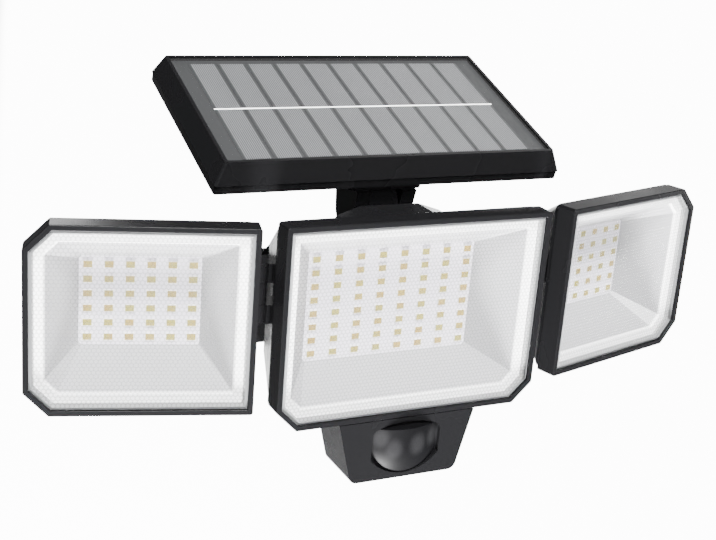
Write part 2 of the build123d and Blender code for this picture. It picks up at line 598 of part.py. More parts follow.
with BuildPart() as main_housing:
    # pan, with the rim that sits in the bezel
    centre = (CENTRE_WIDTH, CENTRE_HEIGHT, "bottom", CENTRE_CUT)
    extrude(
        head_outline(FACE.offset(-RIM_SEAT_DEPTH), *centre, INNER_INSET),
        amount=RIM_SEAT_DEPTH - PAN_FRONT_DEPTH,
    )
    extrude(head_outline(FACE.offset(-FLANGE_DEPTH), *centre, FLANGE_INSET), amount=-FLANGE)
    front_cuts = ((CENTRE_CUT, CENTRE_CUT), (CORNER_RADIUS / 2, CORNER_RADIUS / 2))
    half_high = CENTRE_HEIGHT / 2
    back_cuts = (PAN_CUT, PAN_SHOULDER)
    pan_front = cut_box(
        FACE.offset(-PAN_FRONT_DEPTH), CENTRE_WIDTH / 2, half_high, half_high, *front_cuts, PAN_INSET
    )
    pan_back = cut_box(
        FACE.offset(-PAN_DEPTH), PAN_HALF_WIDTH, PAN_TOP, PAN_BOTTOM, *back_cuts
    )
    loft([pan_front, pan_back], ruled=True)
    # rear box
    extrude(box_outline(PAN_BACK), amount=PAN_BACK - BOX_DEPTH)
    # mound that carries the eye up to the panel's fork
    with BuildSketch(FACE.offset(-MOUND_FRONT)) as mound_side:
        with BuildLine():
            Polyline(*[(-x, z) for x, z in MOUND], *reversed(MOUND), close=True)
        make_face()
    extrude(amount=MOUND_FRONT - MOUND_BACK)
    # sensor pod
    pod_parts = [(0, POD_TOP + SLIP), (FLANGE_DEPTH + SLIP, PAN_BOTTOM - WALL)]
    for depth, top in pod_parts:
        extrude(pod_outline(FACE.offset(-depth), top), amount=depth - POD_DEPTH)
    # ears of the side hinges
    for ear_face_sign in (-1, 1):
        for ear_low in (EARS_LOW, KNUCKLE_HIGH + HINGE_GAP):
            ear_plane = level(FACE, ear_face_sign * HINGE_OFFSET, HINGE_SETBACK, ear_low)
            extrude(ear_outline(ear_plane, ear_face_sign), amount=EAR_HEIGHT)
    # knuckle for the panel's fork
    with BuildSketch(tilt_side(-LUG_HALF)):
        Circle(FORK_RADIUS)
        with Locations(((LUG_FRONT + LUG_BACK) / 2, BOX_TOP - TILT_RISE)):
            Rectangle(LUG_BACK - LUG_FRONT, 2 * WALL)
        make_hull()
    extrude(amount=2 * LUG_HALF)
    with BuildSketch(tilt_side(-LUG_HALF)):
        with BuildLine():
            Polyline(
                (MOUND_BACK - TILT_SETBACK - WALL, PAN_TOP - TILT_RISE - WALL),
                (0, PAN_TOP - TILT_RISE - WALL),
                (0, MOUND[0][1] - TILT_RISE - FORK_RADIUS / 2),
                (MOUND_BACK - TILT_SETBACK - WALL, MOUND[0][1] - TILT_RISE),
                close=True,
            )
        make_face()
    extrude(amount=2 * LUG_HALF)
    # hollow inside
    hollow_front = cut_box(
        FACE.offset(-RIM_SEAT_DEPTH), CENTRE_WIDTH / 2, half_high, half_high,
        *front_cuts, INNER_INSET + WALL,
    )
    hollow_back = cut_box(
        FACE.offset(-PAN_BACK), PAN_HALF_WIDTH, PAN_TOP, PAN_BOTTOM, *back_cuts, WALL
    )
    loft([hollow_front, hollow_back], ruled=True, mode=Mode.SUBTRACT)
    extrude(box_outline(PAN_DEPTH, WALL), amount=PAN_DEPTH - BOX_DEPTH, mode=Mode.SUBTRACT)
    extrude(
        block(FACE.offset(-PAN_BACK), PAN_WINDOW, y=BOX_MIDDLE), amount=-WALL, mode=Mode.SUBTRACT
    )
    # hollow of the pod and opening of the sensor eye
    pod_hollows = [(WALL, POD_TOP + SLIP + WALL), (PAN_FRONT_DEPTH + WALL, PAN_BOTTOM - 2 * WALL)]
    for depth, top in pod_hollows:
        inner = pod_outline(FACE.offset(-depth), top, WALL)
        extrude(inner, amount=depth - POD_BACK, mode=Mode.SUBTRACT)
    extrude(eye_outline(FACE), amount=-WALL, mode=Mode.SUBTRACT)
    # posts for the LED board, the sensor board, the control board and the rear cover
    led_posts = floor_size(CENTRE_LED_COUNT, CENTRE_PITCH, -POST_INSET)
    with BuildSketch(FACE.offset(-PAN_BACK)):
        with GridLocations(*led_posts, 2, 2):
            Circle(POST_RADIUS)
    extrude(amount=PAN_BACK - BOARD_BACK)
    with BuildSketch(FACE.offset(-POD_BACK)):
        with Locations((0, -SENSOR_DROP)):
            with GridLocations(*SENSOR_POSTS, 2, 2):
                Circle(POST_RADIUS)
    extrude(amount=POD_BACK - SENSOR_BOARD_DEPTH - SENSOR_BOARD[2] - SEAT)
    with BuildSketch(FACE.offset(-PAN_DEPTH)):
        with Locations((0, CONTROL_MIDDLE)):
            with GridLocations(*CONTROL_POSTS, 2, 2):
                Circle(POST_RADIUS)
    extrude(amount=PAN_DEPTH - CONTROL_DEPTH + SEAT)
    with BuildSketch(FACE.offset(-PAN_DEPTH)):
        with Locations((0, CONTROL_MIDDLE)):
            with GridLocations(*CONTROL_POSTS, 2, 2):
                Circle(CONTROL_SCREW_RADIUS + SCREW_FIT)
    extrude(amount=PAN_DEPTH - CONTROL_DEPTH, mode=Mode.SUBTRACT)
    cover_spots = [(sign * x, z) for x, z in COVER_BOSSES for sign in (-1, 1)]
    with BuildSketch(FACE.offset(-BOX_DEPTH)):
        with Locations(*cover_spots):
            Circle(COVER_BOSS_RADIUS)
    extrude(amount=BOX_DEPTH - PAN_DEPTH)
    with BuildSketch(FACE.offset(-BOX_DEPTH)):
        with Locations(*cover_spots):
            Circle(COVER_SCREW_RADIUS + SCREW_FIT)
    extrude(amount=COVER_SCREW_GRIP + SLIP, mode=Mode.SUBTRACT)
    # bores of the hinges and the button
    for ear_face_sign in (-1, 1):
        bore_plane = level(FACE, ear_face_sign * HINGE_OFFSET, HINGE_SETBACK, EARS_LOW)
        bore = disc(bore_plane, HINGE_BOLT_RADIUS + HINGE_FIT)
        extrude(bore, amount=EARS_HIGH - EARS_LOW, mode=Mode.SUBTRACT)
    extrude(
        disc(tilt_side(-LUG_HALF), TILT_BOLT_RADIUS + TILT_FIT),
        amount=2 * LUG_HALF,
        mode=Mode.SUBTRACT,
    )
    button_bore = level(FACE, BUTTON_OFFSET, BUTTON_SETBACK, -BOX_BOTTOM)
    extrude(disc(button_bore, BUTTON_RADIUS + SLIP), amount=WALL, mode=Mode.SUBTRACT)
finish(main_housing, "main_housing")

# ---------------------------------------------------------------------------------------
# Motion sensor in the pod
# ---------------------------------------------------------------------------------------
LENS_BACK = WALL + SEAT + EYE_FLANGE[1]
LENS_REACH = EYE_PROUD + LENS_BACK


def lens_outline(plane, inset):
    """Front view of the sensor lens: the eye's outline, cut off level at the top."""
    cut = EYE_LENS_TOP - EYE_ARCH[1] + inset
    with BuildSketch(plane) as outline:
        add(eye_outline(Plane.XY, inset))
        with Locations((0, -EYE_ARCH[1] - cut / 2)):
            Rectangle(2 * EYE_HALF_WIDTH, cut, mode=Mode.SUBTRACT)
    return outline.sketch


def barrel(inset):
    """Round of the lens: a barrel about an upright axis behind it, curving back at the bottom."""
    radius = BARREL_RADIUS - inset
    low_radius = BARREL_LOW_RADIUS - inset
    top, low = -EYE_ARCH[1], -EYE_LOW[1]
    middle = Plane(
        origin=FACE.from_local_coords(Vector(0, 0, EYE_PROUD - BARREL_RADIUS)),
        x_dir=(0, -1, 0),
        z_dir=(-1, 0, 0),
    )
    with BuildSketch(middle) as side:
        with BuildLine():
            Polyline((radius, -EYE_BEND), (radius, top), (0, top), (0, low), (low_radius, low))
            TangentArc((radius, -EYE_BEND), (low_radius, low), tangent=(0, -1))
        make_face()
    return revolve(side.sketch, axis=Axis(middle.origin, (0, 0, 1)), mode=Mode.PRIVATE)


with BuildPart() as sensor_lens:
    # smoked shell that bulges through the opening, on a flat flange behind the pod's wall
    extrude(lens_outline(FACE.offset(EYE_PROUD), SLIP), amount=-LENS_REACH)
    add(barrel(0), mode=Mode.INTERSECT)
    flange_top = POD_TOP + SLIP + WALL + SLIP
    flange_size = (EYE_FLANGE[0], EYE_LOW[1] - flange_top)
    flange_plane = FACE.offset(-WALL - SEAT)
    extrude(
        block(flange_plane, flange_size, y=-(EYE_LOW[1] + flange_top) / 2, radius=EYE_CORNER),
        amount=-EYE_FLANGE[1],
    )
    with BuildPart(mode=Mode.SUBTRACT):
        extrude(lens_outline(FACE.offset(EYE_PROUD), SLIP + EYE_SHELL), amount=-LENS_REACH)
        add(barrel(EYE_SHELL), mode=Mode.INTERSECT)
finish(sensor_lens, "sensor_lens")

sensor_front = FACE.offset(-SENSOR_BOARD_DEPTH)
with BuildPart() as sensor_board:
    extrude(block(sensor_front, SENSOR_BOARD, y=-SENSOR_DROP), amount=-SENSOR_BOARD[2])
finish(sensor_board, "sensor_board")

with BuildPart() as sensor_element:
    # round metal can with its square window
    can_base = sensor_front.offset(SEAT)
    extrude(disc(can_base, SENSOR_CAN[0] + SENSOR_BRIM, y=-SENSOR_DROP), amount=SENSOR_BRIM)
    extrude(disc(can_base, SENSOR_CAN[0], y=-SENSOR_DROP), amount=SENSOR_CAN[1])
    window = block(can_base.offset(SENSOR_CAN[1]), SENSOR_WINDOW, y=-SENSOR_DROP)
    extrude(window, amount=-SENSOR_WINDOW[2], mode=Mode.SUBTRACT)
finish(sensor_element, "sensor_element")

# ---------------------------------------------------------------------------------------
# Rear cover with its seal and screws
# ---------------------------------------------------------------------------------------
COVER_FRONT = BOX_DEPTH + REAR_SEAL + 2 * SEAT
COVER_DEPTH = (
    CONTROL_DEPTH + CONTROL_BOARD[2] + CAPACITOR[1] + BATTERY_GAP + 2 * BATTERY_RADIUS
    + HOLDER_BASE + COVER_WALL + 3 * SEAT
)
COVER_INNER = COVER_DEPTH - COVER_WALL
COVER_BACK_PLANE = FACE.offset(-COVER_DEPTH)
BRACKET_MIDDLE = -HEAD_RISE
BRACKET_FRONT = COVER_DEPTH + PAD_THICKNESS + SEAT

with BuildPart() as rear_seal:
    with BuildSketch(FACE.offset(-BOX_DEPTH - SEAT)):
        low = (BOX_CUT, BOX_CUT)
        high = (BOX_SHOULDER, BOX_SHOULDER)
        add(cut_box(Plane.XY, BOX_HALF_WIDTH, BOX_TOP, BOX_BOTTOM, low, high, SLIP))
        add(cut_box(Plane.XY, BOX_HALF_WIDTH, BOX_TOP, BOX_BOTTOM, low, high, WALL), mode=Mode.SUBTRACT)
    extrude(amount=-REAR_SEAL)
finish(rear_seal, "rear_seal")

with BuildPart() as rear_cover:
    extrude(box_outline(COVER_FRONT), amount=COVER_FRONT - COVER_DEPTH)
    back_edges = rear_cover.faces().sort_by(Axis.Y)[-1].edges()
    fillet(back_edges, COVER_EDGE_RADIUS)
    extrude(
        block(COVER_BACK_PLANE, BRACKET_PLATE, y=BRACKET_MIDDLE + PAD_LIFT, radius=COVER_EDGE_RADIUS),
        amount=-PAD_THICKNESS,
    )
    extrude(box_outline(COVER_FRONT, WALL), amount=COVER_FRONT - COVER_INNER, mode=Mode.SUBTRACT)
    with BuildSketch(FACE.offset(-COVER_FRONT)):
        with Locations(*cover_spots):
            Circle(COVER_BOSS_RADIUS)
    extrude(amount=COVER_FRONT - COVER_INNER)
    with BuildSketch(COVER_BACK_PLANE):
        with Locations(*cover_spots):
            Circle(COVER_SCREW_RADIUS + SLIP)
    extrude(amount=COVER_DEPTH - COVER_FRONT, mode=Mode.SUBTRACT)
    with BuildSketch(COVER_BACK_PLANE):
        with Locations(*cover_spots):
            Circle(COVER_HEAD_RADIUS + SLIP)
    extrude(amount=COVER_HEAD_DEPTH, mode=Mode.SUBTRACT)
    with BuildSketch(COVER_BACK_PLANE.offset(-PAD_THICKNESS)):
        with Locations((0, BRACKET_MIDDLE + PAD_LIFT)):
            with GridLocations(*BRACKET_SCREWS, 2, 2):
                Circle(BRACKET_SCREW_RADIUS + SCREW_FIT)
    extrude(amount=BRACKET_SCREW_GRIP + SLIP, mode=Mode.SUBTRACT)
finish(rear_cover, "rear_cover")

cover_heads = [
    Plane(
        origin=COVER_BACK_PLANE.offset(COVER_HEAD_DEPTH - SEAT).from_local_coords(Vector(x, z, 0)),
        x_dir=(1, 0, 0),
        z_dir=(0, 1, 0),
    )
    for x, z in cover_spots
]
make_screws(
    "rear_cover_screws", cover_heads, COVER_SCREW_RADIUS,
    COVER_DEPTH - COVER_HEAD_DEPTH - BOX_DEPTH + COVER_SCREW_GRIP,
    COVER_HEAD_RADIUS, COVER_HEAD_DEPTH - SLIP,
)

# ---------------------------------------------------------------------------------------
# Power: cells in their holder, control board, mode switch and button
# ---------------------------------------------------------------------------------------
BATTERY_DEPTH = COVER_INNER - SEAT - HOLDER_BASE - SEAT - BATTERY_RADIUS
HOLDER_END = BATTERY_LENGTH / 2 + CONTACT + 2 * SEAT
HOLDER_SIZE = (2 * (HOLDER_END + HOLDER_WALL), BATTERY_PITCH + 2 * BATTERY_RADIUS + 2.0)
cell_rows = [BOX_MIDDLE + sign * BATTERY_PITCH / 2 for sign in (-1, 1)]


def across(x, depth, rise):
    """Upright plane across the battery cells: z to the right."""
    return Plane(
        origin=FACE.from_local_coords(Vector(x, rise, -depth)), x_dir=(0, 1, 0), z_dir=(1, 0, 0)
    )


with BuildPart() as battery_cells:
    for row in cell_rows:
        extrude(disc(across(-BATTERY_LENGTH / 2, BATTERY_DEPTH, row), BATTERY_RADIUS), amount=BATTERY_LENGTH)
    fillet(battery_cells.edges().filter_by(GeomType.CIRCLE), 0.8)
finish(battery_cells, "battery_cells")

with BuildPart() as battery_contacts:
    for row in cell_rows:
        for x in (-BATTERY_LENGTH / 2 - SEAT - CONTACT, BATTERY_LENGTH / 2 + SEAT):
            extrude(disc(across(x, BATTERY_DEPTH, row), BATTERY_RADIUS * 0.6), amount=CONTACT)
finish(battery_contacts, "battery_contacts")

with BuildPart() as battery_holder:
    base = FACE.offset(SEAT - COVER_INNER)
    extrude(block(base, HOLDER_SIZE, y=BOX_MIDDLE), amount=HOLDER_BASE)
    for x in (-HOLDER_END - HOLDER_WALL, HOLDER_END):
        end_wall = block(across(x, BATTERY_DEPTH, BOX_MIDDLE), (2 * HOLDER_WALL, HOLDER_SIZE[1]))
        extrude(end_wall, amount=HOLDER_WALL)
        joined = block(
            across(x, COVER_INNER - HOLDER_BASE - BATTERY_RADIUS / 2, BOX_MIDDLE),
            (BATTERY_RADIUS, HOLDER_SIZE[1]),
        )
        extrude(joined, amount=HOLDER_WALL)
    # saddles under the cells
    for x in (-SADDLE_SPREAD, SADDLE_SPREAD):
        with BuildSketch(across(x - HOLDER_WALL / 2, COVER_INNER - HOLDER_BASE - SADDLE / 2, BOX_MIDDLE)):
            Rectangle(SADDLE, HOLDER_SIZE[1])
            with Locations(
                (BATTERY_DEPTH - COVER_INNER + HOLDER_BASE + SADDLE / 2, -BATTERY_PITCH / 2),
                (BATTERY_DEPTH - COVER_INNER + HOLDER_BASE + SADDLE / 2, BATTERY_PITCH / 2),
            ):
                Circle(BATTERY_RADIUS + SEAT, mode=Mode.SUBTRACT)
        extrude(amount=HOLDER_WALL)
finish(battery_holder, "battery_holder")

with BuildPart() as control_board:
    front = FACE.offset(-CONTROL_DEPTH)
    extrude(block(front, CONTROL_BOARD, y=CONTROL_MIDDLE), amount=-CONTROL_BOARD[2])
    with BuildSketch(front):
        with Locations((0, CONTROL_MIDDLE)):
            with GridLocations(*CONTROL_POSTS, 2, 2):
                Circle(CONTROL_SCREW_RADIUS + SCREW_FIT)
    extrude(amount=-CONTROL_BOARD[2], mode=Mode.SUBTRACT)
finish(control_board, "control_board")

CONTROL_BACK = CONTROL_DEPTH + CONTROL_BOARD[2] + SEAT
control_rear = Plane(
    origin=FACE.from_local_coords(Vector(0, CONTROL_MIDDLE, -CONTROL_BACK)),
    x_dir=(1, 0, 0),
    z_dir=(0, 1, 0),
)
with BuildPart() as control_parts:
    # driver chip, two coils, a capacitor and the plug strip; local y points down
    board_x, board_y = CONTROL_BOARD[0] / 2, CONTROL_BOARD[1] / 2
    extrude(block(control_rear, CHIP, y=-CHIP[1] / 4), amount=CHIP[2])
    for x in (-board_x / 2, board_x / 2):
        extrude(disc(control_rear, COIL[0], x=x, y=-board_y / 4), amount=COIL[1])
    extrude(disc(control_rear, CAPACITOR[0], x=-board_x / 2, y=board_y / 3), amount=CAPACITOR[1])
    extrude(block(control_rear, PLUG_STRIP, y=board_y / 2), amount=PLUG_STRIP[2])
finish(control_parts, "control_parts")

board_screw_planes = [
    Plane(origin=control_rear.from_local_coords(Vector(sx * CONTROL_POSTS[0] / 2, sy * CONTROL_POSTS[1] / 2, 0)),
          x_dir=(1, 0, 0), z_dir=(0, 1, 0))
    for sx in (-1, 1) for sy in (-1, 1)
]
make_screws(
    "control_board_screws", board_screw_planes, CONTROL_SCREW_RADIUS,
    CONTROL_BOARD[2] + CONTROL_SCREW_GRIP, CONTROL_SCREW_RADIUS * 1.8, 1.5,
)

SWITCH_LOW = CONTROL_MIDDLE - CONTROL_BOARD[1] / 2
with BuildPart() as mode_switch:
    # small push switch on the board's lower edge, its plunger downwards
    switch_plane = level(FACE, BUTTON_OFFSET, BUTTON_SETBACK, SWITCH_LOW)
    extrude(block(switch_plane, SWITCH), amount=SWITCH[2])
    extrude(disc(switch_plane, SWITCH_STEM[0]), amount=-SWITCH_STEM[1])
finish(mode_switch, "mode_switch")

STEM_TOP = SWITCH_LOW - SWITCH_STEM[1] - BUTTON_TRAVEL - SEAT
with BuildPart() as mode_button:
    # soft cap through the floor of the housing, with a collar that holds it in
    cap_plane = level(FACE, BUTTON_OFFSET, BUTTON_SETBACK, -BOX_BOTTOM - BUTTON_PROUD)
    extrude(disc(cap_plane, BUTTON_RADIUS), amount=BUTTON_PROUD + WALL + SLIP)
    fillet(mode_button.faces().sort_by(Axis.Z)[0].edges(), BUTTON_EDGE)
    collar = cap_plane.offset(BUTTON_PROUD + WALL + SLIP)
    extrude(disc(collar, BUTTON_RADIUS + BUTTON_COLLAR), amount=BUTTON_COLLAR)
    stem_length = STEM_TOP + BOX_BOTTOM - WALL - SLIP
    extrude(disc(collar, BUTTON_RADIUS / 2), amount=stem_length)
finish(mode_button, "mode_button")

# ---------------------------------------------------------------------------------------
# Wall bracket
# ---------------------------------------------------------------------------------------
with BuildPart() as wall_bracket:
    front = FACE.offset(-BRACKET_FRONT)
    wall = FACE.offset(-REACH)
    plate_shift = BRACKET_MIDDLE + PAD_LIFT
    extrude(
        block(front, BRACKET_PLATE, y=plate_shift, radius=COVER_EDGE_RADIUS), amount=-BRACKET_PLATE[2]
    )
    extrude(
        block(wall, WALL_PLATE, y=BRACKET_MIDDLE, radius=WALL_PLATE_CORNER), amount=WALL_PLATE[2]
    )
    fillet(wall_bracket.faces().filter_by(Axis.Y).sort_by(Axis.Y)[2].edges(), WALL_PLATE_EDGE)
    near = block(front, POST_SIZE, y=plate_shift, radius=COVER_EDGE_RADIUS)
    far = block(wall, POST_FOOT, y=BRACKET_MIDDLE, radius=COVER_EDGE_RADIUS)
    loft([near, far], ruled=True)
    # stiffening ribs from the post to the wall plate
    for sign in (-1, 1):
        with BuildSketch(level(FACE, 0, REACH, BRACKET_MIDDLE - GUSSET[2] / 2)):
            with BuildLine():
                Polyline(
                    (sign * POST_SIZE[0] / 2 - sign * POST_WALL, 0),
                    (sign * (POST_FOOT[0] / 2 + GUSSET[0]), 0),
                    (sign * (POST_FOOT[0] / 2 + GUSSET[0]), -WALL_PLATE[2]),
                    (sign * (POST_SIZE[0] / 2), -WALL_PLATE[2] - GUSSET[1]),
                    (sign * (POST_SIZE[0] / 2 - POST_WALL), -WALL_PLATE[2] - GUSSET[1]),
                    close=True,
                )
            make_face()
        extrude(amount=GUSSET[2])
    inner_near = block(
        front.offset(-BRACKET_PLATE[2]),
        (POST_SIZE[0] - 2 * POST_WALL, POST_SIZE[1] - 2 * POST_WALL), y=plate_shift,
    )
    inner_far = block(
        wall, (POST_FOOT[0] - 2 * POST_WALL, POST_FOOT[1] - 2 * POST_WALL), y=BRACKET_MIDDLE
    )
    loft([inner_near, inner_far], ruled=True, mode=Mode.SUBTRACT)
    with BuildSketch(front):
        with Locations((0, plate_shift)):
            with GridLocations(*BRACKET_SCREWS, 2, 2):
                Circle(BRACKET_SCREW_RADIUS + SCREW_FIT)
    extrude(amount=-BRACKET_PLATE[2], mode=Mode.SUBTRACT)
    with Locations(wall.offset(WALL_PLATE[2])):
        with Locations((0, BRACKET_MIDDLE)):
            with GridLocations(*WALL_HOLE_SPACING, 2, 2):
                CounterSinkHole(WALL_HOLE_RADIUS, WALL_HOLE_RADIUS * 1.8, depth=WALL_PLATE[2])
finish(wall_bracket, "wall_bracket")

bracket_screw_planes = [
    Plane(
        origin=FACE.from_local_coords(
            Vector(
                sx * BRACKET_SCREWS[0] / 2,
                BRACKET_MIDDLE + PAD_LIFT + sy * BRACKET_SCREWS[1] / 2,
                -BRACKET_FRONT - BRACKET_PLATE[2] - SEAT,
            )
        ),
        x_dir=(1, 0, 0),
        z_dir=(0, 1, 0),
    )
    for sx in (-1, 1) for sy in (-1, 1)
]
make_screws(
    "bracket_screws", bracket_screw_planes, BRACKET_SCREW_RADIUS,
    BRACKET_PLATE[2] + BRACKET_SCREW_GRIP, BRACKET_SCREW_RADIUS * 1.9, 2.2,
)

# ---------------------------------------------------------------------------------------
# Hinge bolts and nuts of the side heads
# ---------------------------------------------------------------------------------------
for side_name, side_face, side_sign in SIDES:
    bolt_top = level(FACE, side_sign * HINGE_OFFSET, HINGE_SETBACK, EARS_HIGH + SEAT)
    make_screws(
        f"{side_name}_hinge_bolt", [bolt_top], HINGE_BOLT_RADIUS,
        EARS_HIGH - EARS_LOW + HINGE_NUT[1] + 2 * SEAT, HINGE_BOLT_RADIUS * 1.8, 2.6,
    )
    with BuildPart() as hinge_nut:
        with BuildSketch(level(FACE, side_sign * HINGE_OFFSET, HINGE_SETBACK, EARS_LOW - SEAT)):
            RegularPolygon(HINGE_NUT[0] / 2, 6, major_radius=False)
            Circle(HINGE_BOLT_RADIUS + SCREW_FIT, mode=Mode.SUBTRACT)
        extrude(amount=-HINGE_NUT[1])
    finish(hinge_nut, f"{side_name}_hinge_nut")

# ---------------------------------------------------------------------------------------
# Solar panel, laid out in its own tilted plane
# ---------------------------------------------------------------------------------------
PANEL_LOW = PANEL_RISE - PANEL_FLARE                    # lower edge of the flared side
GLASS_TOP = PANEL_RISE - GLASS_RECESS
GLASS_LOW = GLASS_TOP - GLASS_THICKNESS
RIBBON_LOW = GLASS_LOW - SEAT - RIBBON[1]
CELL_LOW = RIBBON_LOW - SEAT - CELL_THICKNESS
CELL_SHEET_LOW = CELL_LOW - SEAT - CELL_SHEET
LEDGE_TOP = CELL_SHEET_LOW - SEAT
LEDGE_LOW = LEDGE_TOP - LEDGE[1]
GLASS_SIZE = (PANEL_TOP[0] - 2 * PANEL_BORDER, PANEL_TOP[1] - 2 * PANEL_BORDER)
UNDER_TOP = PANEL_LOW - SEAT
UNDER_LOW = UNDER_TOP - UNDER_COVER
PEDESTAL_LOW = UNDER_LOW - PEDESTAL_RISE
FOOT_TOP = PEDESTAL_LOW - SEAT
FOOT_LOW = FOOT_TOP - FOOT_SIZE[2]
FOOT_MIDDLE = FOOT_SIZE[1] / 2 - FOOT_FRONT             # behind the tilt axis


def shrink(size, margin):
    """Rectangle size less a margin on every side."""
    return (size[0] - 2 * margin, size[1] - 2 * margin)


def panel_level(rise):
    """Plane of the panel's middle at a height above the tilt axis."""
    return PANEL_MIDDLE.offset(rise)


with BuildPart() as panel_frame:
    lip = block(panel_level(PANEL_LOW), PANEL_LIP, radius=PANEL_CORNER)
    top_edge = block(panel_level(PANEL_RISE), PANEL_TOP, radius=PANEL_CORNER)
    loft([lip, top_edge], ruled=True)
    hollow_low = block(panel_level(PANEL_LOW), shrink(PANEL_LIP, FRAME_WALL), radius=PANEL_CORNER)
    hollow_high = block(panel_level(LEDGE_LOW), shrink(GLASS_SIZE, SLIP), radius=PANEL_CORNER)
    loft([hollow_low, hollow_high], ruled=True, mode=Mode.SUBTRACT)
    extrude(
        block(panel_level(LEDGE_LOW), shrink(GLASS_SIZE, LEDGE[0]), radius=PANEL_CORNER),
        amount=LEDGE[1], mode=Mode.SUBTRACT,
    )
    glass_pocket = block(panel_level(LEDGE_TOP), GLASS_SIZE, radius=PANEL_CORNER / 2)
    extrude(glass_pocket, amount=PANEL_RISE - LEDGE_TOP, mode=Mode.SUBTRACT)
    with BuildSketch(panel_level(UNDER_TOP + SEAT)):
        with GridLocations(*UNDER_SCREWS, 2, 2):
            Circle(FRAME_BOSS_RADIUS)
            Circle(UNDER_SCREW_RADIUS + SCREW_FIT, mode=Mode.SUBTRACT)
    extrude(amount=LEDGE_LOW - UNDER_TOP - SEAT)
finish(panel_frame, "panel_frame")

with BuildPart() as panel_glass:
    pane = block(panel_level(GLASS_LOW), shrink(GLASS_SIZE, GLASS_FIT), radius=PANEL_CORNER / 2)
    extrude(pane, amount=GLASS_THICKNESS)
finish(panel_glass, "panel_glass")

with BuildPart() as solar_cells:
    cell_pitch = CELL_AREA[0] / CELL_COUNT
    with BuildSketch(panel_level(CELL_LOW)):
        with GridLocations(cell_pitch, 1, CELL_COUNT, 1):
            Rectangle(cell_pitch - CELL_GAP, CELL_AREA[1])
    extrude(amount=CELL_THICKNESS)
finish(solar_cells, "solar_cells")

with BuildPart() as cell_ribbon:
    extrude(block(panel_level(RIBBON_LOW), (CELL_AREA[0], RIBBON[0])), amount=RIBBON[1])
finish(cell_ribbon, "cell_ribbon")

with BuildPart() as cell_sheet:
    board = block(panel_level(CELL_SHEET_LOW), shrink(GLASS_SIZE, GLASS_FIT), radius=PANEL_CORNER / 2)
    extrude(board, amount=CELL_SHEET)
finish(cell_sheet, "cell_sheet")

with BuildPart() as panel_under_cover:
    extrude(
        block(panel_level(UNDER_LOW), shrink(PANEL_LIP, UNDER_INSET), radius=PANEL_CORNER),
        amount=UNDER_COVER,
    )
    with BuildSketch(panel_level(UNDER_TOP)):
        RectangleRounded(*shrink(GLASS_SIZE, 2 * SLIP), PANEL_CORNER)
        RectangleRounded(*shrink(GLASS_SIZE, 2 * SLIP + LOCATING_RIM[0]), 1, mode=Mode.SUBTRACT)
    extrude(amount=LOCATING_RIM[1])
    pedestal = Plane(
        origin=PANEL.from_local_coords(Vector(0, FOOT_MIDDLE, PEDESTAL_LOW)),
        x_dir=(1, 0, 0),
        z_dir=PANEL.z_dir,
    )
    extrude(block(pedestal, FOOT_SIZE, radius=PANEL_CORNER), amount=PEDESTAL_RISE)
    with BuildSketch(panel_level(UNDER_LOW)):
        with GridLocations(*UNDER_SCREWS, 2, 2):
            Circle(UNDER_SCREW_RADIUS + SLIP)
    extrude(amount=UNDER_COVER, mode=Mode.SUBTRACT)
    with BuildSketch(panel_level(UNDER_TOP)):
        with GridLocations(*UNDER_SCREWS, 2, 2):
            Circle(FRAME_BOSS_RADIUS + SLIP)
    extrude(amount=LOCATING_RIM[1], mode=Mode.SUBTRACT)
    with BuildSketch(pedestal):
        with Locations((0, FOOT_SCREW_SHIFT)):
            with GridLocations(*FOOT_SCREWS, 2, 2):
                Circle(FOOT_SCREW_RADIUS + SCREW_FIT)
    extrude(amount=PEDESTAL_RISE + UNDER_COVER - FOOT_SCREW_SKIN, mode=Mode.SUBTRACT)
finish(panel_under_cover, "panel_under_cover")

under_screw_planes = [
    Plane(
        origin=panel_level(UNDER_LOW - SEAT).from_local_coords(
            Vector(sx * UNDER_SCREWS[0] / 2, sy * UNDER_SCREWS[1] / 2, 0)
        ),
        x_dir=(1, 0, 0),
        z_dir=-PANEL.z_dir,
    )
    for sx in (-1, 1) for sy in (-1, 1)
]
make_screws(
    "under_cover_screws", under_screw_planes, UNDER_SCREW_RADIUS, UNDER_COVER + UNDER_SCREW_GRIP,
    UNDER_SCREW_RADIUS * 1.9, 1.6,
)


def fork_side(x):
    """Plane across the fork at a distance from its middle: x backwards, y away from the axis."""
    return Plane(origin=PANEL.from_local_coords(Vector(x, 0, 0)), x_dir=PANEL.y_dir, z_dir=(1, 0, 0))


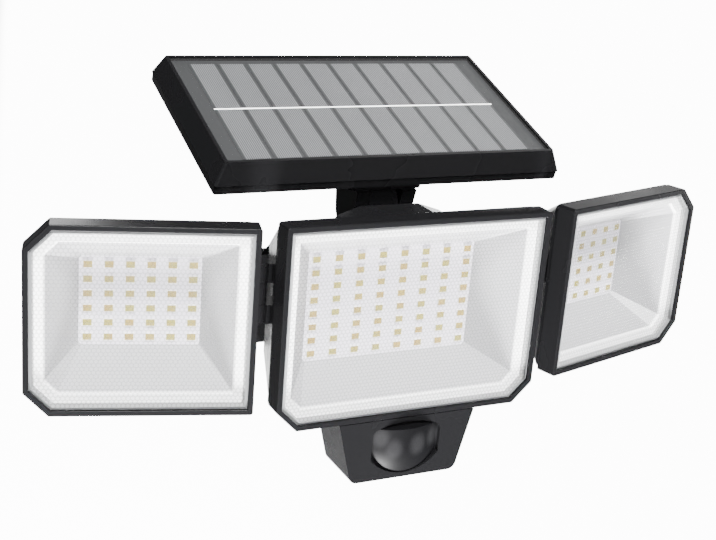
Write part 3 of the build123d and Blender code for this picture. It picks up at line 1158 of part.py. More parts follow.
FORK_HALF = FORK_WIDTH / 2
CHEEK_INNER = FORK_HALF - CHEEK
with BuildPart() as panel_bracket:
    # two cheeks, rounded about the tilt axis, under a flat foot
    for x in (-FORK_HALF, CHEEK_INNER):
        with BuildSketch(fork_side(x)):
            with Locations((0, -CHEEK_DROP)):
                Circle(FORK_RADIUS)
            with Locations(((CHEEK_BACK - FORK_RADIUS) / 2, FOOT_LOW - RIB / 2)):
                Rectangle(CHEEK_BACK + FORK_RADIUS, RIB)
            make_hull()
        extrude(amount=CHEEK)
    foot = Plane(
        origin=PANEL.from_local_coords(Vector(0, FOOT_MIDDLE, FOOT_LOW)),
        x_dir=(1, 0, 0),
        z_dir=PANEL.z_dir,
    )
    extrude(block(foot, FOOT_SIZE, radius=FOOT_CORNER), amount=FOOT_SIZE[2])
    # ribs from the cheeks back along the foot
    for x in (-CHEEK_INNER - RIB, CHEEK_INNER):
        with BuildSketch(fork_side(x)):
            with BuildLine():
                Polyline(
                    (0, FOOT_LOW), (RIB_LENGTH, FOOT_LOW), (RIB_LENGTH, FOOT_LOW - RIB_END),
                    (FORK_RADIUS, 0), (0, 0),
                    close=True,
                )
            make_face()
        extrude(amount=RIB)
    # bore for the bolt, with a six-sided pocket for its nut in the left cheek
    bore_start = fork_side(-NUT_SEAT)
    bore_length = NUT_SEAT + FORK_HALF
    extrude(disc(bore_start, TILT_BOLT_RADIUS + TILT_FIT), amount=bore_length, mode=Mode.SUBTRACT)
    with BuildSketch(fork_side(-NUT_SEAT)):
        RegularPolygon(TILT_NUT[0] / 2 + SLIP / 2, 6, major_radius=False)
    extrude(amount=NUT_SEAT - CHEEK_INNER, mode=Mode.SUBTRACT)
    with BuildSketch(foot):
        with Locations((0, FOOT_SCREW_SHIFT)):
            with GridLocations(*FOOT_SCREWS, 2, 2):
                Circle(FOOT_SCREW_RADIUS + SCREW_FIT)
    extrude(amount=FOOT_SIZE[2], mode=Mode.SUBTRACT)
finish(panel_bracket, "panel_bracket")

foot_screw_planes = [
    Plane(
        origin=PANEL.from_local_coords(
            Vector(
                sx * FOOT_SCREWS[0] / 2,
                FOOT_MIDDLE + FOOT_SCREW_SHIFT + sy * FOOT_SCREWS[1] / 2,
                FOOT_LOW - SEAT,
            )
        ),
        x_dir=(1, 0, 0),
        z_dir=-PANEL.z_dir,
    )
    for sx in (-1, 1) for sy in (-1, 1)
]
make_screws(
    "panel_bracket_screws", foot_screw_planes, FOOT_SCREW_RADIUS,
    FOOT_SIZE[2] + PEDESTAL_RISE + UNDER_COVER - FOOT_SCREW_SKIN - SLIP,
    FOOT_SCREW_RADIUS * 1.8, 1.8,
)

tilt_bolt_plane = Plane(
    origin=PANEL.from_local_coords(Vector(FORK_HALF + SEAT, 0, 0)),
    x_dir=PANEL.y_dir,
    z_dir=(1, 0, 0),
)
make_screws(
    "tilt_bolt", [tilt_bolt_plane], TILT_BOLT_RADIUS, FORK_HALF + NUT_SEAT - SLIP,
    TILT_BOLT_RADIUS * 1.8, 3.4,
)
with BuildPart() as tilt_nut:
    with BuildSketch(fork_side(-NUT_SEAT + SEAT)):
        RegularPolygon(TILT_NUT[0] / 2, 6, major_radius=False)
        Circle(TILT_BOLT_RADIUS + SCREW_FIT, mode=Mode.SUBTRACT)
    extrude(amount=TILT_NUT[1])
finish(tilt_nut, "tilt_nut")
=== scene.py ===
# %% [markdown]
# # Motion sensor security light
# A black wall light with three white lamp heads, a sensor pod under the middle one and a solar
# panel on a tilting fork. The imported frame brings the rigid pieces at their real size. This
# lesson gives each one its finish and makes the pieces that need a finer surface: the bezels,
# the beaded lens sheets and the LED packages. The solar cells' silver lines are part of their
# finish.

# %% Load the frame
import bpy
import json
import math
import numpy as np
from mathutils import Matrix, Vector


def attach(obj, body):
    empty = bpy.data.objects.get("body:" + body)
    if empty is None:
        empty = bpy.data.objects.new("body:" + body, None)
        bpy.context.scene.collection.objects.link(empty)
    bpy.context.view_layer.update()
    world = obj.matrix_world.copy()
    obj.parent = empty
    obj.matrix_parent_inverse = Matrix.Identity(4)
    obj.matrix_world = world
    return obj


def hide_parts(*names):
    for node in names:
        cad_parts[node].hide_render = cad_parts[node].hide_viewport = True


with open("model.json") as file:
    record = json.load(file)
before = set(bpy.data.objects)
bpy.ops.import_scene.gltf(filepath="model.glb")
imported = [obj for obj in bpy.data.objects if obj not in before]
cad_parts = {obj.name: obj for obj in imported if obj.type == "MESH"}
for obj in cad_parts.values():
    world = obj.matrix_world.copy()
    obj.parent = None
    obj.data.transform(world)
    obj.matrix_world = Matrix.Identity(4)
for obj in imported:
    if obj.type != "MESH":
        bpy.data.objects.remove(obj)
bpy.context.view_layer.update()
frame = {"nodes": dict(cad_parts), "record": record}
nodes = frame["nodes"]

# %% [markdown]
# ## Helpers for colour and shader nodes
# Colours are picked as sRGB hex values, which is how a screen shows them, and a shader wants
# linear light, so one function converts. Another adds a shader node with its settings and links.
# Patterns read Object coordinates, which are metres here, so the Scale of a noise is one over
# the size of its patches.

# %% Colour and node helpers
MM = 0.001


def linear(hex_colour):
    """sRGB hex to linear RGBA: c / 12.92 below 0.04045, else ((c + 0.055) / 1.055) to the 2.4."""
    c = np.array([int(hex_colour[i:i + 2], 16) for i in (1, 3, 5)]) / 255
    rgb = np.where(c <= 0.04045, c / 12.92, ((c + 0.055) / 1.055) ** 2.4)
    return (*rgb.tolist(), 1.0)


def add(tree, kind, inputs=None, **settings):
    """Add a shader node: settings are its properties, inputs its sockets' values or links."""
    node = tree.nodes.new(kind)
    for key, value in settings.items():
        setattr(node, key, value)
    for key, value in (inputs or {}).items():
        if isinstance(value, bpy.types.NodeSocket):
            tree.links.new(value, node.inputs[key])
        else:
            node.inputs[key].default_value = value
    return node


def finish_of(name, colour, roughness, **sockets):
    """A material with one Principled shader. Returns the material, its tree and the shader."""
    material = bpy.data.materials.new(name)
    material.use_nodes = True
    tree = material.node_tree
    tree.nodes.clear()
    shader = add(tree, "ShaderNodeBsdfPrincipled",
                 {"Base Color": linear(colour), "Roughness": roughness, **sockets})
    add(tree, "ShaderNodeOutputMaterial", {"Surface": shader.outputs[0]})
    return material, tree, shader


def grain_bump(tree, shader, place, size, height):
    """Bump from noise whose grains are size metres wide and height metres high."""
    noise = add(tree, "ShaderNodeTexNoise",
                {"Vector": place, "Scale": 1 / size, "Detail": 2.0, "Roughness": 0.6})
    bump = add(tree, "ShaderNodeBump",
               {"Height": noise.outputs[0], "Distance": height, "Strength": 1.0})
    tree.links.new(bump.outputs[0], shader.inputs["Normal"])


print("#808080 is", round(linear("#808080")[0], 4), "in linear light")

# %% [markdown]
# ## Black moulded ABS
# The bezels, housings, panel frame and bracket are injection moulded ABS from a spark-eroded
# tool. That gives the eye a fine matt grain about 0.35 mm wide, a soft sheen where light grazes
# it, and slightly uneven gloss over a few centimetres. The grain is drawn as a bump and the
# uneven gloss as a slow noise in the roughness.

# %% Black plastic
GLOSS_PATCH = 1 / 28            # metres, about 36 mm
GLOSS_NOISE = (0.35, 0.65)      # the noise between these two makes the whole change in gloss


def moulded_plastic(name, colour, smoothest, roughest, grain=0.35 * MM, depth=0.005 * MM):
    """Moulded plastic: fine grain bump and a roughness that drifts between two values."""
    material, tree, shader = finish_of(name, colour, smoothest)
    place = add(tree, "ShaderNodeTexCoord").outputs["Object"]
    grain_bump(tree, shader, place, grain, depth)
    drift = add(tree, "ShaderNodeTexNoise",
                {"Vector": place, "Scale": 1 / GLOSS_PATCH, "Detail": 3.0})
    gloss = add(tree, "ShaderNodeMapRange",
                {"Value": drift.outputs[0], "From Min": GLOSS_NOISE[0],
                 "From Max": GLOSS_NOISE[1], "To Min": smoothest, "To Max": roughest})
    tree.links.new(gloss.outputs[0], shader.inputs["Roughness"])
    return material, tree, shader


# Outside: nearly black and half matt. Its lowered IOR keeps the side faces dark.
black_abs, _, shader = moulded_plastic("black_ABS_spark_eroded", "#0f0f10", 0.23, 0.3)
shader.inputs["Specular IOR Level"].default_value = 0.3
shader.inputs["IOR"].default_value = 1.2
# Inside: the battery holder is left as the tool made it, duller and greyer.
holder_abs, _, _ = moulded_plastic("black_ABS_inner", "#1d1d1f", 0.5, 0.58)
print("black ABS: 0.35 mm grain, gloss patches of", round(GLOSS_PATCH / MM), "mm")

# %% [markdown]
# ## Grey seal and LED board
# The seal between lens and reflector is moulded silicone: grey, dull and a little soft in its
# grain. The LED board is aluminium under a printed white solder mask with a faint lilac tint,
# and the copper under the mask stands up a little in wide pads, which the light catches. The
# pads are a brick pattern turned into the upright plane.

# %% Seal and board
PAD_WIDTH = 1 / 79              # metres, 12.7 mm, the LEDs' spacing in the centre head
PAD_ROW = 0.58                  # height of a pad, as a share of its width
PAD_GAP = 0.03                  # gap between pads, as a share of a pad's width
COPPER = 0.03 * MM
TINT_PATCH = 1 / 900            # metres, 1.1 mm
MASK_LILAC, MASK_PALE = "#e2dcea", "#ece9ee"
seal_grey, _, _ = moulded_plastic("grey_silicone", "#8f9090", 0.55, 0.62, 0.3 * MM, 0.01 * MM)
board_white, tree, shader = finish_of("white_solder_mask", MASK_LILAC, 0.45)
place = add(tree, "ShaderNodeTexCoord").outputs["Object"]
upright = add(tree, "ShaderNodeMapping",
              {"Vector": place, "Rotation": (math.radians(90), 0, 0)}).outputs[0]
pads = add(tree, "ShaderNodeTexBrick",
           {"Vector": upright, "Scale": 1 / PAD_WIDTH, "Mortar Size": PAD_GAP,
            "Brick Width": 1.0, "Row Height": PAD_ROW, "Color1": (1, 1, 1, 1),
            "Color2": (0.9, 0.9, 0.9, 1), "Mortar": (0, 0, 0, 1)}, offset=0.0)
bump = add(tree, "ShaderNodeBump", {"Height": pads.outputs[0], "Distance": COPPER})
tree.links.new(bump.outputs[0], shader.inputs["Normal"])
tint = add(tree, "ShaderNodeTexNoise", {"Vector": place, "Scale": 1 / TINT_PATCH, "Detail": 1.0})
tone = add(tree, "ShaderNodeMix", {6: linear(MASK_LILAC), 7: linear(MASK_PALE),
                                   "Factor": tint.outputs[0]}, data_type="RGBA")
tree.links.new(tone.outputs[2], shader.inputs["Base Color"])
print("board: pads", round(PAD_WIDTH / MM, 1), "mm wide")

# %% [markdown]
# ## Steel, circuit boards and the other inner finishes
# Metal takes its colour from its reflections, so each steel is one tone with fine marks from
# turning as a bump and patches that are a little duller. The inner plastics are moulded, and
# differ in tone, gloss and grain.

# %% Metal and inner finishes
TURNING_MARK = 0.2 * MM
MARK_DEPTH = 0.008 * MM
STAIN_PATCH = 1 / 240           # metres, 4.2 mm
STAIN_NOISE = (0.3, 0.7)
CLEAN_GAIN, STAIN_LOSS = 0.06, 0.1      # roughness less where clean, and more where stained


def plated_steel(name, colour, roughness):
    """Turned and plated steel: fine marks as a bump, and a roughness that changes in patches."""
    material, tree, shader = finish_of(name, colour, roughness, Metallic=1.0)
    place = add(tree, "ShaderNodeTexCoord").outputs["Object"]
    grain_bump(tree, shader, place, TURNING_MARK, MARK_DEPTH)
    stain = add(tree, "ShaderNodeTexNoise",
                {"Vector": place, "Scale": 1 / STAIN_PATCH, "Detail": 4.0})
    dullness = add(tree, "ShaderNodeMapRange",
                   {"Value": stain.outputs[0], "From Min": STAIN_NOISE[0],
                    "From Max": STAIN_NOISE[1], "To Min": roughness - CLEAN_GAIN,
                    "To Max": roughness + STAIN_LOSS})
    tree.links.new(dullness.outputs[0], shader.inputs["Roughness"])
    return material


# Turned stainless steel: pale, slightly warm, with small soft highlights on the screw heads.
screw_steel = plated_steel("stainless_steel_turned", "#b9b7b2", 0.3)
# Zinc plated and blackened: dark grey with a dull shine.
bolt_black = plated_steel("black_zinc_steel", "#3c3c3e", 0.36)
# Nickel plated sheet: warm and bright, on the battery contacts and the sensor's can.
nickel = plated_steel("nickel_plated_steel", "#c4c0b6", 0.28)
# Glass-epoxy board under a cured green mask: glossy, with soft waves 1.2 mm wide.
board_green, _, _ = moulded_plastic("green_solder_mask", "#12421f", 0.28, 0.36,
                                    1.2 * MM, 0.02 * MM)
# Chips and switch: pressed epoxy, matt and not quite black.
chip_black, _, _ = moulded_plastic("moulded_epoxy", "#151516", 0.5, 0.6)
# Battery cells: a shrunk blue sleeve, glossy with shallow wrinkles 4 mm wide.
sleeve_blue, _, _ = moulded_plastic("blue_shrink_sleeve", "#1f4f9c", 0.22, 0.3,
                                    4.0 * MM, 0.06 * MM)
# Rear seal and button: moulded black silicone, the dullest of the blacks.
rubber_black, _, _ = moulded_plastic("black_silicone", "#141414", 0.6, 0.7)
print("metals: 3, inner plastics: 5")

# %% [markdown]
# ## Which node gets which finish
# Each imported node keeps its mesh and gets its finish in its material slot. The record says which
# finish each node asks for.

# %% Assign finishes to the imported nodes


def wear(obj, material):
    """Give an object this one material."""
    obj.data.materials.clear()
    obj.data.materials.append(material)


finish_by_slot = {
    "black_plastic": black_abs, "lens_seal": seal_grey,
    "led_board": board_white, "circuit_board": board_green, "sensor_can": nickel,
    "seal_black": rubber_black, "screw_steel": screw_steel, "battery_wrap": sleeve_blue,
    "contact_metal": nickel, "holder_plastic": holder_abs, "chip_plastic": chip_black,
    "switch_plastic": chip_black, "button_rubber": rubber_black, "bolt_steel": bolt_black,
}
slot_by_node = {s["node"]: s["material_slot"] for s in frame["record"]["subparts"]}
for node_name, slot_name in slot_by_node.items():
    if slot_name in finish_by_slot:
        wear(nodes[node_name], finish_by_slot[slot_name])
print("finished from slots:", sum(s in finish_by_slot for s in slot_by_node.values()))

# %% [markdown]
# ## The heads' own planes
# Everything in a head lies on planes parallel to its face, so one function turns a point given
# as across, up and depth behind the face into the frame. Lengths here are in millimetres, as on
# a drawing, and become metres in that one function.

# %% Head planes
# Origin: middle of the face. Yaw: degrees that the face turns, anticlockwise from above. Cut:
# legs of the two slanted corners. LEDs: columns and rows, and the pitch between them.
HEADS = {
    "centre": dict(body="housing", origin=(0.0, -156.0, 39.0), yaw=0.0, size=(150.0, 107.5),
                   cut=11.3, leds=(8, 8), pitch=(12.7, 7.4)),
    "left": dict(body="left_head", origin=(-141.0, -142.6, 45.7), yaw=-15.2, size=(109.6, 95.4),
                 cut=12.0, leds=(6, 6), pitch=(10.2, 7.55)),
    "right": dict(body="right_head", origin=(141.0, -142.6, 45.7), yaw=15.2, size=(109.6, 95.4),
                  cut=12.0, leds=(6, 6), pitch=(10.2, 7.55)),
}


def on_head(head, across, up, depth):
    """Points of a head, in metres.

    Origin + across * (cos yaw, sin yaw, 0) + up * z + depth * (-sin yaw, cos yaw, 0).
    """
    a = math.radians(head["yaw"])
    o = np.array(head["origin"])
    across, up, depth = np.broadcast_arrays(across, up, depth)
    x = o[0] + across * math.cos(a) - depth * math.sin(a)
    y = o[1] + across * math.sin(a) + depth * math.cos(a)
    return np.stack([x, y, o[2] + up], -1) * MM


print("heads:", ", ".join(f"{side} {head['size']} mm" for side, head in HEADS.items()))

# %% [markdown]
# ## White reflectors
# Each reflector is one white ABS moulding. Its flat rim under the lens is brilliant white, and
# the four sloping walls deeper in the head are painted grey: painted shade for the shadow in the
# recess. Depth behind the face tells them apart, and it is measured along the way that the head
# faces, so each head has its own finish.

# %% Reflector finish
# Where the white rim gives way to the painted shade on the sloping walls, and that shade's grey.
RIM_DEPTH, SHADE_DEPTH = 6.2, 7.2        # mm behind the face: the rim ends, the walls' tone begins
RIM_WHITE, WALL_SHADE_GREY = "#f8f8f8", "#929294"
for side, head in HEADS.items():
    white_abs, tree, shader = moulded_plastic(f"white_ABS_{side}", RIM_WHITE, 0.38, 0.46,
                                              0.6 * MM, 0.006 * MM)
    turn = math.radians(head["yaw"])
    inward = (-math.sin(turn), math.cos(turn), 0.0)
    start = float(np.dot(inward, head["origin"]))
    place = add(tree, "ShaderNodeTexCoord").outputs["Object"]
    along = add(tree, "ShaderNodeVectorMath", {0: place, 1: inward}, operation="DOT_PRODUCT")
    wall_shade = add(tree, "ShaderNodeMapRange",
               {"Value": along.outputs["Value"], "From Min": (start + RIM_DEPTH) * MM,
                "From Max": (start + SHADE_DEPTH) * MM})
    # Painted shade: past the rim the white turns grey with depth into the head.
    tone = add(tree, "ShaderNodeMix", {6: linear(RIM_WHITE), 7: linear(WALL_SHADE_GREY),
                                       "Factor": wall_shade.outputs[0]}, data_type="RGBA")
    tree.links.new(tone.outputs[2], shader.inputs["Base Color"])
    wear(nodes[f"{side}_reflector"], white_abs)
# The walls behind the rim are grey from painted shade.
print("reflectors: polished rim to", RIM_DEPTH, "mm deep, grained walls behind it")

# %% [markdown]
# ## Meshes from arrays
# A surface is a grid of points, worked out as one array. Faces join neighbours in the grid, and
# a grid can be closed in either direction. Many small copies are one array of points and one
# array of faces, repeated.

# %% Mesh builders


def mesh_piece(name, points, faces, body, material, sharp, uv=None):
    """Put points (n, 3) and faces (m, 3 or 4) into a smooth mesh that rides on a body.

    Edges that turn by more than sharp degrees are shaded sharp.
    """
    mesh = bpy.data.meshes.new(name)
    points = np.ascontiguousarray(points, np.float32).reshape(-1, 3)
    faces = np.ascontiguousarray(faces, np.int32)
    mesh.vertices.add(len(points))
    mesh.vertices.foreach_set("co", points.ravel())
    mesh.loops.add(faces.size)
    mesh.loops.foreach_set("vertex_index", faces.ravel())
    mesh.polygons.add(len(faces))
    mesh.polygons.foreach_set("loop_start",
                              np.arange(0, faces.size, faces.shape[1], dtype=np.int32))
    mesh.polygons.foreach_set("use_smooth", np.full(len(faces), True))
    if uv is not None:
        layer = mesh.uv_layers.new(name="plan")
        layer.data.foreach_set("uv", np.asarray(uv, np.float32)[faces.ravel()].ravel())
    mesh.update(calc_edges=True)
    mesh.validate()
    mesh.set_sharp_from_angle(angle=math.radians(sharp))
    obj = bpy.data.objects.new(name, mesh)
    bpy.context.scene.collection.objects.link(obj)
    mesh.materials.append(material)
    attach(obj, body)
    return obj


def grid_faces(rows, columns, close_rows=False, close_columns=False, flip=False):
    """Quads of a rows by columns grid: corners (i, j), (i, j+1), (i+1, j+1), (i+1, j)."""
    i = np.arange(rows if close_rows else rows - 1)
    j = np.arange(columns if close_columns else columns - 1)
    i, j = [k.ravel() for k in np.meshgrid(i, j, indexing="ij")]
    i2, j2 = (i + 1) % rows, (j + 1) % columns
    quads = np.stack([i * columns + j, i * columns + j2, i2 * columns + j2, i2 * columns + j], -1)
    return quads[:, ::-1] if flip else quads


def copies(points, faces, places):
    """The same small shape at many places: points (n, 3) plus each place (k, 3)."""
    first = len(points) * np.arange(len(places))[:, None, None]
    all_points = (points[None] + places[:, None]).reshape(-1, 3)
    return all_points, (faces[None] + first).reshape(-1, faces.shape[1])


print("a closed 4 by 6 grid has", len(grid_faces(4, 6, True, True)), "faces")

# %% [markdown]
# ## Outline of a head at any inset
# A head is a rectangle with two slanted corners. Its outline moved inwards by a distance stays
# parallel to itself, so each corner slides along its bisector. Every corner is drawn as a short
# arc with a fixed number of points, so that outlines at different insets join point to point.

# %% Head outline
ARC_POINTS = 7
SLANT_RADIUS, SQUARE_RADIUS, LEAST_RADIUS = 1.6, 1.4, 0.35      # mm, the last one far inside


def head_corners(head, side):
    """Corner points, anticlockwise, and each corner's radius, before any inset."""
    w, h = head["size"][0] / 2, head["size"][1] / 2
    c = head["cut"]
    if side == "centre":
        corners = [(w, -h + c), (w, h), (-w, h), (-w, -h + c), (-w + c, -h), (w - c, -h)]
        square = [1, 2]
    else:
        corners = [(w, -h), (w, h), (-w + c, h), (-w, h - c), (-w, -h + c), (-w + c, -h)]
        square = [0, 1]
    corners = np.array(corners)
    radii = np.full(len(corners), SLANT_RADIUS)
    radii[square] = SQUARE_RADIUS
    if side == "right":
        corners, radii = (corners * (-1, 1))[::-1], radii[::-1]
    return corners, radii


def inset_outline(corners, radii, inset):
    """Round the corners of the polygon moved inwards by inset.

    Each edge line moves along its inner normal, and neighbours meet again at
    corner + inset * (sum of normals) / (1 + dot of normals). An arc of radius r starts
    r * tan(turn / 2) before that corner and turns from one edge's normal to the next.
    """
    before = corners - np.roll(corners, 1, 0)
    after = np.roll(corners, -1, 0) - corners
    before /= np.linalg.norm(before, axis=1, keepdims=True)
    after /= np.linalg.norm(after, axis=1, keepdims=True)
    n1 = np.stack([-before[:, 1], before[:, 0]], -1)
    n2 = np.stack([-after[:, 1], after[:, 0]], -1)
    mitre = (n1 + n2) / (1 + (n1 * n2).sum(1, keepdims=True))
    r = np.maximum(radii - inset, LEAST_RADIUS)[:, None]
    centre = corners + mitre * inset + mitre * r
    first = np.arctan2(-n1[:, 1], -n1[:, 0])
    turn = np.arccos(np.clip((n1 * n2).sum(1), -1, 1))
    t = first[:, None] + turn[:, None] * np.linspace(0, 1, ARC_POINTS)
    arcs = centre[:, None] + r[..., None] * np.stack([np.cos(t), np.sin(t)], -1)
    return arcs.reshape(-1, 2)


def ring_surface(head, side, profile):
    """A profile of (inset, depth) pairs carried round the head.

    Rows are the profile's points and columns go round the outline. Returns the points in the
    frame, their plan in millimetres, and the numbers of rows and columns.
    """
    corners, radii = head_corners(head, side)
    columns = ARC_POINTS * len(corners)
    plan = np.concatenate([inset_outline(corners, radii, inset) for inset, _ in profile])
    depth = np.repeat([depth for _, depth in profile], columns)
    return on_head(head, plan[:, 0], plan[:, 1], depth), plan, len(profile), columns


print("a head's outline has", ARC_POINTS * 6, "points")

# %% [markdown]
# ## Bezels
# The bezel is the black frame in front of each head. Its moulded edges are rounded: about
# 0.45 mm outside, where a hand meets it, and 0.3 mm inside. The profile runs once round the
# section and is swept along the outline, so the highlights on the edges stay continuous. A
# close pair of loops beside each round keeps the flats flat in their shading.

# %% Make the bezels
OUTER_ROUND, INNER_ROUND, REAR_ROUND = 0.45, 0.3, 0.4
LIP, LIP_DEPTH = 2.8, 2.0               # the lip reaches over the lens sheet's edge
WALL, BEZEL_DEPTH = 2.3, 12.0
SUPPORT = 0.1                           # from a round to the loop that keeps the flat flat


def round_edge(inset, depth, radius, start, steps=5):
    """Quarter arc of (inset, depth) points about a centre, from start degrees on."""
    t = np.radians(np.linspace(start, start + 90, steps))
    return [(inset + radius * math.cos(a), depth + radius * math.sin(a)) for a in t]


bezel_profile = (
    round_edge(OUTER_ROUND, OUTER_ROUND, OUTER_ROUND, 180)
    + [(OUTER_ROUND + SUPPORT, 0.0), (LIP - INNER_ROUND - SUPPORT, 0.0)]       # front
    + round_edge(LIP - INNER_ROUND, INNER_ROUND, INNER_ROUND, 270)
    + [(LIP, INNER_ROUND + SUPPORT), (LIP, LIP_DEPTH)]                         # lip
    + [(WALL, LIP_DEPTH), (WALL, BEZEL_DEPTH)]                                 # inside
    + round_edge(REAR_ROUND, BEZEL_DEPTH - REAR_ROUND, REAR_ROUND, 90)
    + [(0.0, BEZEL_DEPTH - REAR_ROUND - SUPPORT), (0.0, OUTER_ROUND + SUPPORT)]  # outside
)
for side, head in HEADS.items():
    points, _, rows, columns = ring_surface(head, side, bezel_profile)
    faces = grid_faces(rows, columns, close_rows=True, close_columns=True)
    bezel = mesh_piece(f"{side}_bezel_frame", points, faces, head["body"], black_abs,
                       sharp=40)
    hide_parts(f"{side}_bezel")
    print(side, "bezel", len(faces), "faces")

# %% [markdown]
# ## Beaded polycarbonate
# The front sheet is clear moulded polycarbonate. Its inner face carries a honeycomb of small
# lens beads, 2.2 mm apart, that scatter the light of the LEDs. A bead passes the light, so it is
# a pale dome that is close to clear. The grooves between beads bend the light away, so they show
# as a grey net. The distance to the nearest bead's middle is the smaller of two square lattices
# shifted by half a step, which together make the honeycomb. The sheet's front is polished, and
# the bevel round it is painted grey: a painted reflection of the black frame that it mirrors.

# %% Finishes of the lens sheets
BEAD_PITCH = 2.2                        # mm, as the UV map is
BEAD_ROWS = BEAD_PITCH * math.sqrt(3)
BEAD_TOP, BEAD_EDGE = 0.6, 1.08         # radii between which a bead falls into its groove
BEAD_HEIGHT = 0.08 * MM
BEAD_PALE, GROOVE_GREY = "#e0e0e0", "#3e3f40"
BEAD_ALPHA, GROOVE_ALPHA = 0.03, 0.32
clear_pc, tree, shader = finish_of("clear_polycarbonate_beaded", BEAD_PALE, 0.25)
plan = add(tree, "ShaderNodeUVMap", uv_map="plan").outputs[0]
reach = []
for shift in ((0, 0, 0), (BEAD_PITCH / 2, BEAD_ROWS / 2, 0)):
    moved = add(tree, "ShaderNodeVectorMath", {0: plan, 1: shift}, operation="ADD").outputs[0]
    cell = add(tree, "ShaderNodeVectorMath",
               {0: moved, 1: (BEAD_PITCH / 2, BEAD_ROWS / 2, 1),
                2: (-BEAD_PITCH / 2, -BEAD_ROWS / 2, -1)}, operation="WRAP").outputs[0]
    length = add(tree, "ShaderNodeVectorMath", {0: cell}, operation="LENGTH")
    reach.append(length.outputs["Value"])
nearest = add(tree, "ShaderNodeMath", {0: reach[0], 1: reach[1]}, operation="MINIMUM").outputs[0]
groove = add(tree, "ShaderNodeMapRange",
             {"Value": nearest, "From Min": BEAD_TOP, "From Max": BEAD_EDGE},
             interpolation_type="SMOOTHSTEP").outputs[0]
tone = add(tree, "ShaderNodeMix", {6: linear(BEAD_PALE), 7: linear(GROOVE_GREY),
                                   "Factor": groove}, data_type="RGBA")
tree.links.new(tone.outputs[2], shader.inputs["Base Color"])
alpha = add(tree, "ShaderNodeMapRange",
            {"Value": groove, "To Min": BEAD_ALPHA, "To Max": GROOVE_ALPHA})
tree.links.new(alpha.outputs[0], shader.inputs["Alpha"])
bump = add(tree, "ShaderNodeBump", {"Height": groove, "Distance": BEAD_HEIGHT}, invert=True)
tree.links.new(bump.outputs[0], shader.inputs["Normal"])
# Bevel and sides: flow marks of the moulding 1.2 mm wide, and a grey that is a painted reflection
# of the frame beside them.
clear_edge, tree, shader = finish_of("clear_polycarbonate_bevel", "#6e6f70", 0.2, Alpha=0.85)
place = add(tree, "ShaderNodeTexCoord").outputs["Object"]
grain_bump(tree, shader, place, 1.2 * MM, 0.01 * MM)
# Front: polished, so nearly invisible, with waves 4 mm wide in what it mirrors.
clear_face, tree, shader = finish_of("clear_polycarbonate_polished", "#ffffff", 0.12,
                                     Alpha=0.008)
place = add(tree, "ShaderNodeTexCoord").outputs["Object"]
grain_bump(tree, shader, place, 4.0 * MM, 0.004 * MM)
print("lens beads every", BEAD_PITCH, "mm")

# %% [markdown]
# ## Lens sheets
# A sheet is a tray seen from its edge: a flat front that stands up inside the bezel's lip, a
# bevel down to the flange behind the lip, and a flat back. The profile goes round the outline
# and a fan of triangles closes the front and the back. Its three finishes follow its bands.

# %% Make the lens sheets
LENS_EDGE = 2.65                        # inset of the flange, clear of the bezel's wall
LENS_BACK = 4.05
lens_profile = [
    (4.5, 0.6), (3.0, 1.9),             # bevel, from the front's border to its foot
    (2.95, 2.0), (2.95, 2.05),          # inside the lip
    (LENS_EDGE, 2.05), (LENS_EDGE, LENS_BACK),      # flange and side
]
LENS_MIDDLE = 0.7                       # depth of the front's middle
for side, head in HEADS.items():
    ring, plan, rows, columns = ring_surface(head, side, lens_profile)
    middles = on_head(head, np.zeros(2), np.zeros(2), np.array([LENS_MIDDLE, LENS_BACK]))
    j = np.arange(columns)
    j2 = (j + 1) % columns
    last = (rows - 1) * columns
    quads = grid_faces(rows, columns, close_columns=True, flip=True)
    front = np.stack([np.full(columns, len(ring)), j, j2], -1)
    back = np.stack([np.full(columns, len(ring) + 1), last + j2, last + j], -1)
    faces = np.concatenate([quads[:, [0, 1, 2]], quads[:, [0, 2, 3]], front, back])
    lens = mesh_piece(f"{side}_lens_sheet", np.concatenate([ring, middles]), faces,
                      head["body"], clear_pc, sharp=20,
                      uv=np.concatenate([plan, np.zeros((2, 2))]))
    lens.data.materials.append(clear_edge)
    lens.data.materials.append(clear_face)
    band = np.repeat([1, 2, 0], [2 * len(quads), columns, columns]).astype(np.int32)
    lens.data.polygons.foreach_set("material_index", band)
    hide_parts(f"{side}_lens")
    print(side, "lens sheet", len(faces), "faces")

# %% [markdown]
# ## LED packages
# Each LED is a white plastic tub with a pool of yellow phosphor gel set into it. The tub and
# the pool are separate surfaces: the tub is a closed block with a sunk floor, and the gel a
# shallow cushion whose border ends inside the tub's wall.

# %% LED finishes
SPECK_PATCH = 1 / 90            # metres, 11 mm, so neighbouring LEDs differ a little
SPECK_NOISE = (0.4, 0.62)
GEL_GREEN, GEL_AMBER = "#948a00", "#9a7c00"
# Tub: moulded white PPA, a hard plastic that stays white and slightly warm.
led_white, _, _ = moulded_plastic("white_PPA", "#f2f0ea", 0.4, 0.5, 0.2 * MM, 0.004 * MM)
# Pool: cast silicone full of phosphor, a saturated yellow that the white cavity pales.
phosphor, tree, shader = finish_of("yellow_phosphor_gel", GEL_GREEN, 0.3)
place = add(tree, "ShaderNodeTexCoord").outputs["Object"]
speck = add(tree, "ShaderNodeTexNoise",
            {"Vector": place, "Scale": 1 / SPECK_PATCH, "Detail": 2.0})
share = add(tree, "ShaderNodeMapRange", {"Value": speck.outputs[0], "From Min": SPECK_NOISE[0],
                                         "From Max": SPECK_NOISE[1]})
tone = add(tree, "ShaderNodeMix", {6: linear(GEL_GREEN), 7: linear(GEL_AMBER),
                                   "Factor": share.outputs[0]}, data_type="RGBA")
tree.links.new(tone.outputs[2], shader.inputs["Base Color"])
print("phosphor from", GEL_GREEN, "to", GEL_AMBER)

# %% [markdown]
# ## LEDs on their boards
# One tub and one cushion are worked out around the origin and copied to each place on the
# board. A tub has few faces, because there are 136 of them.

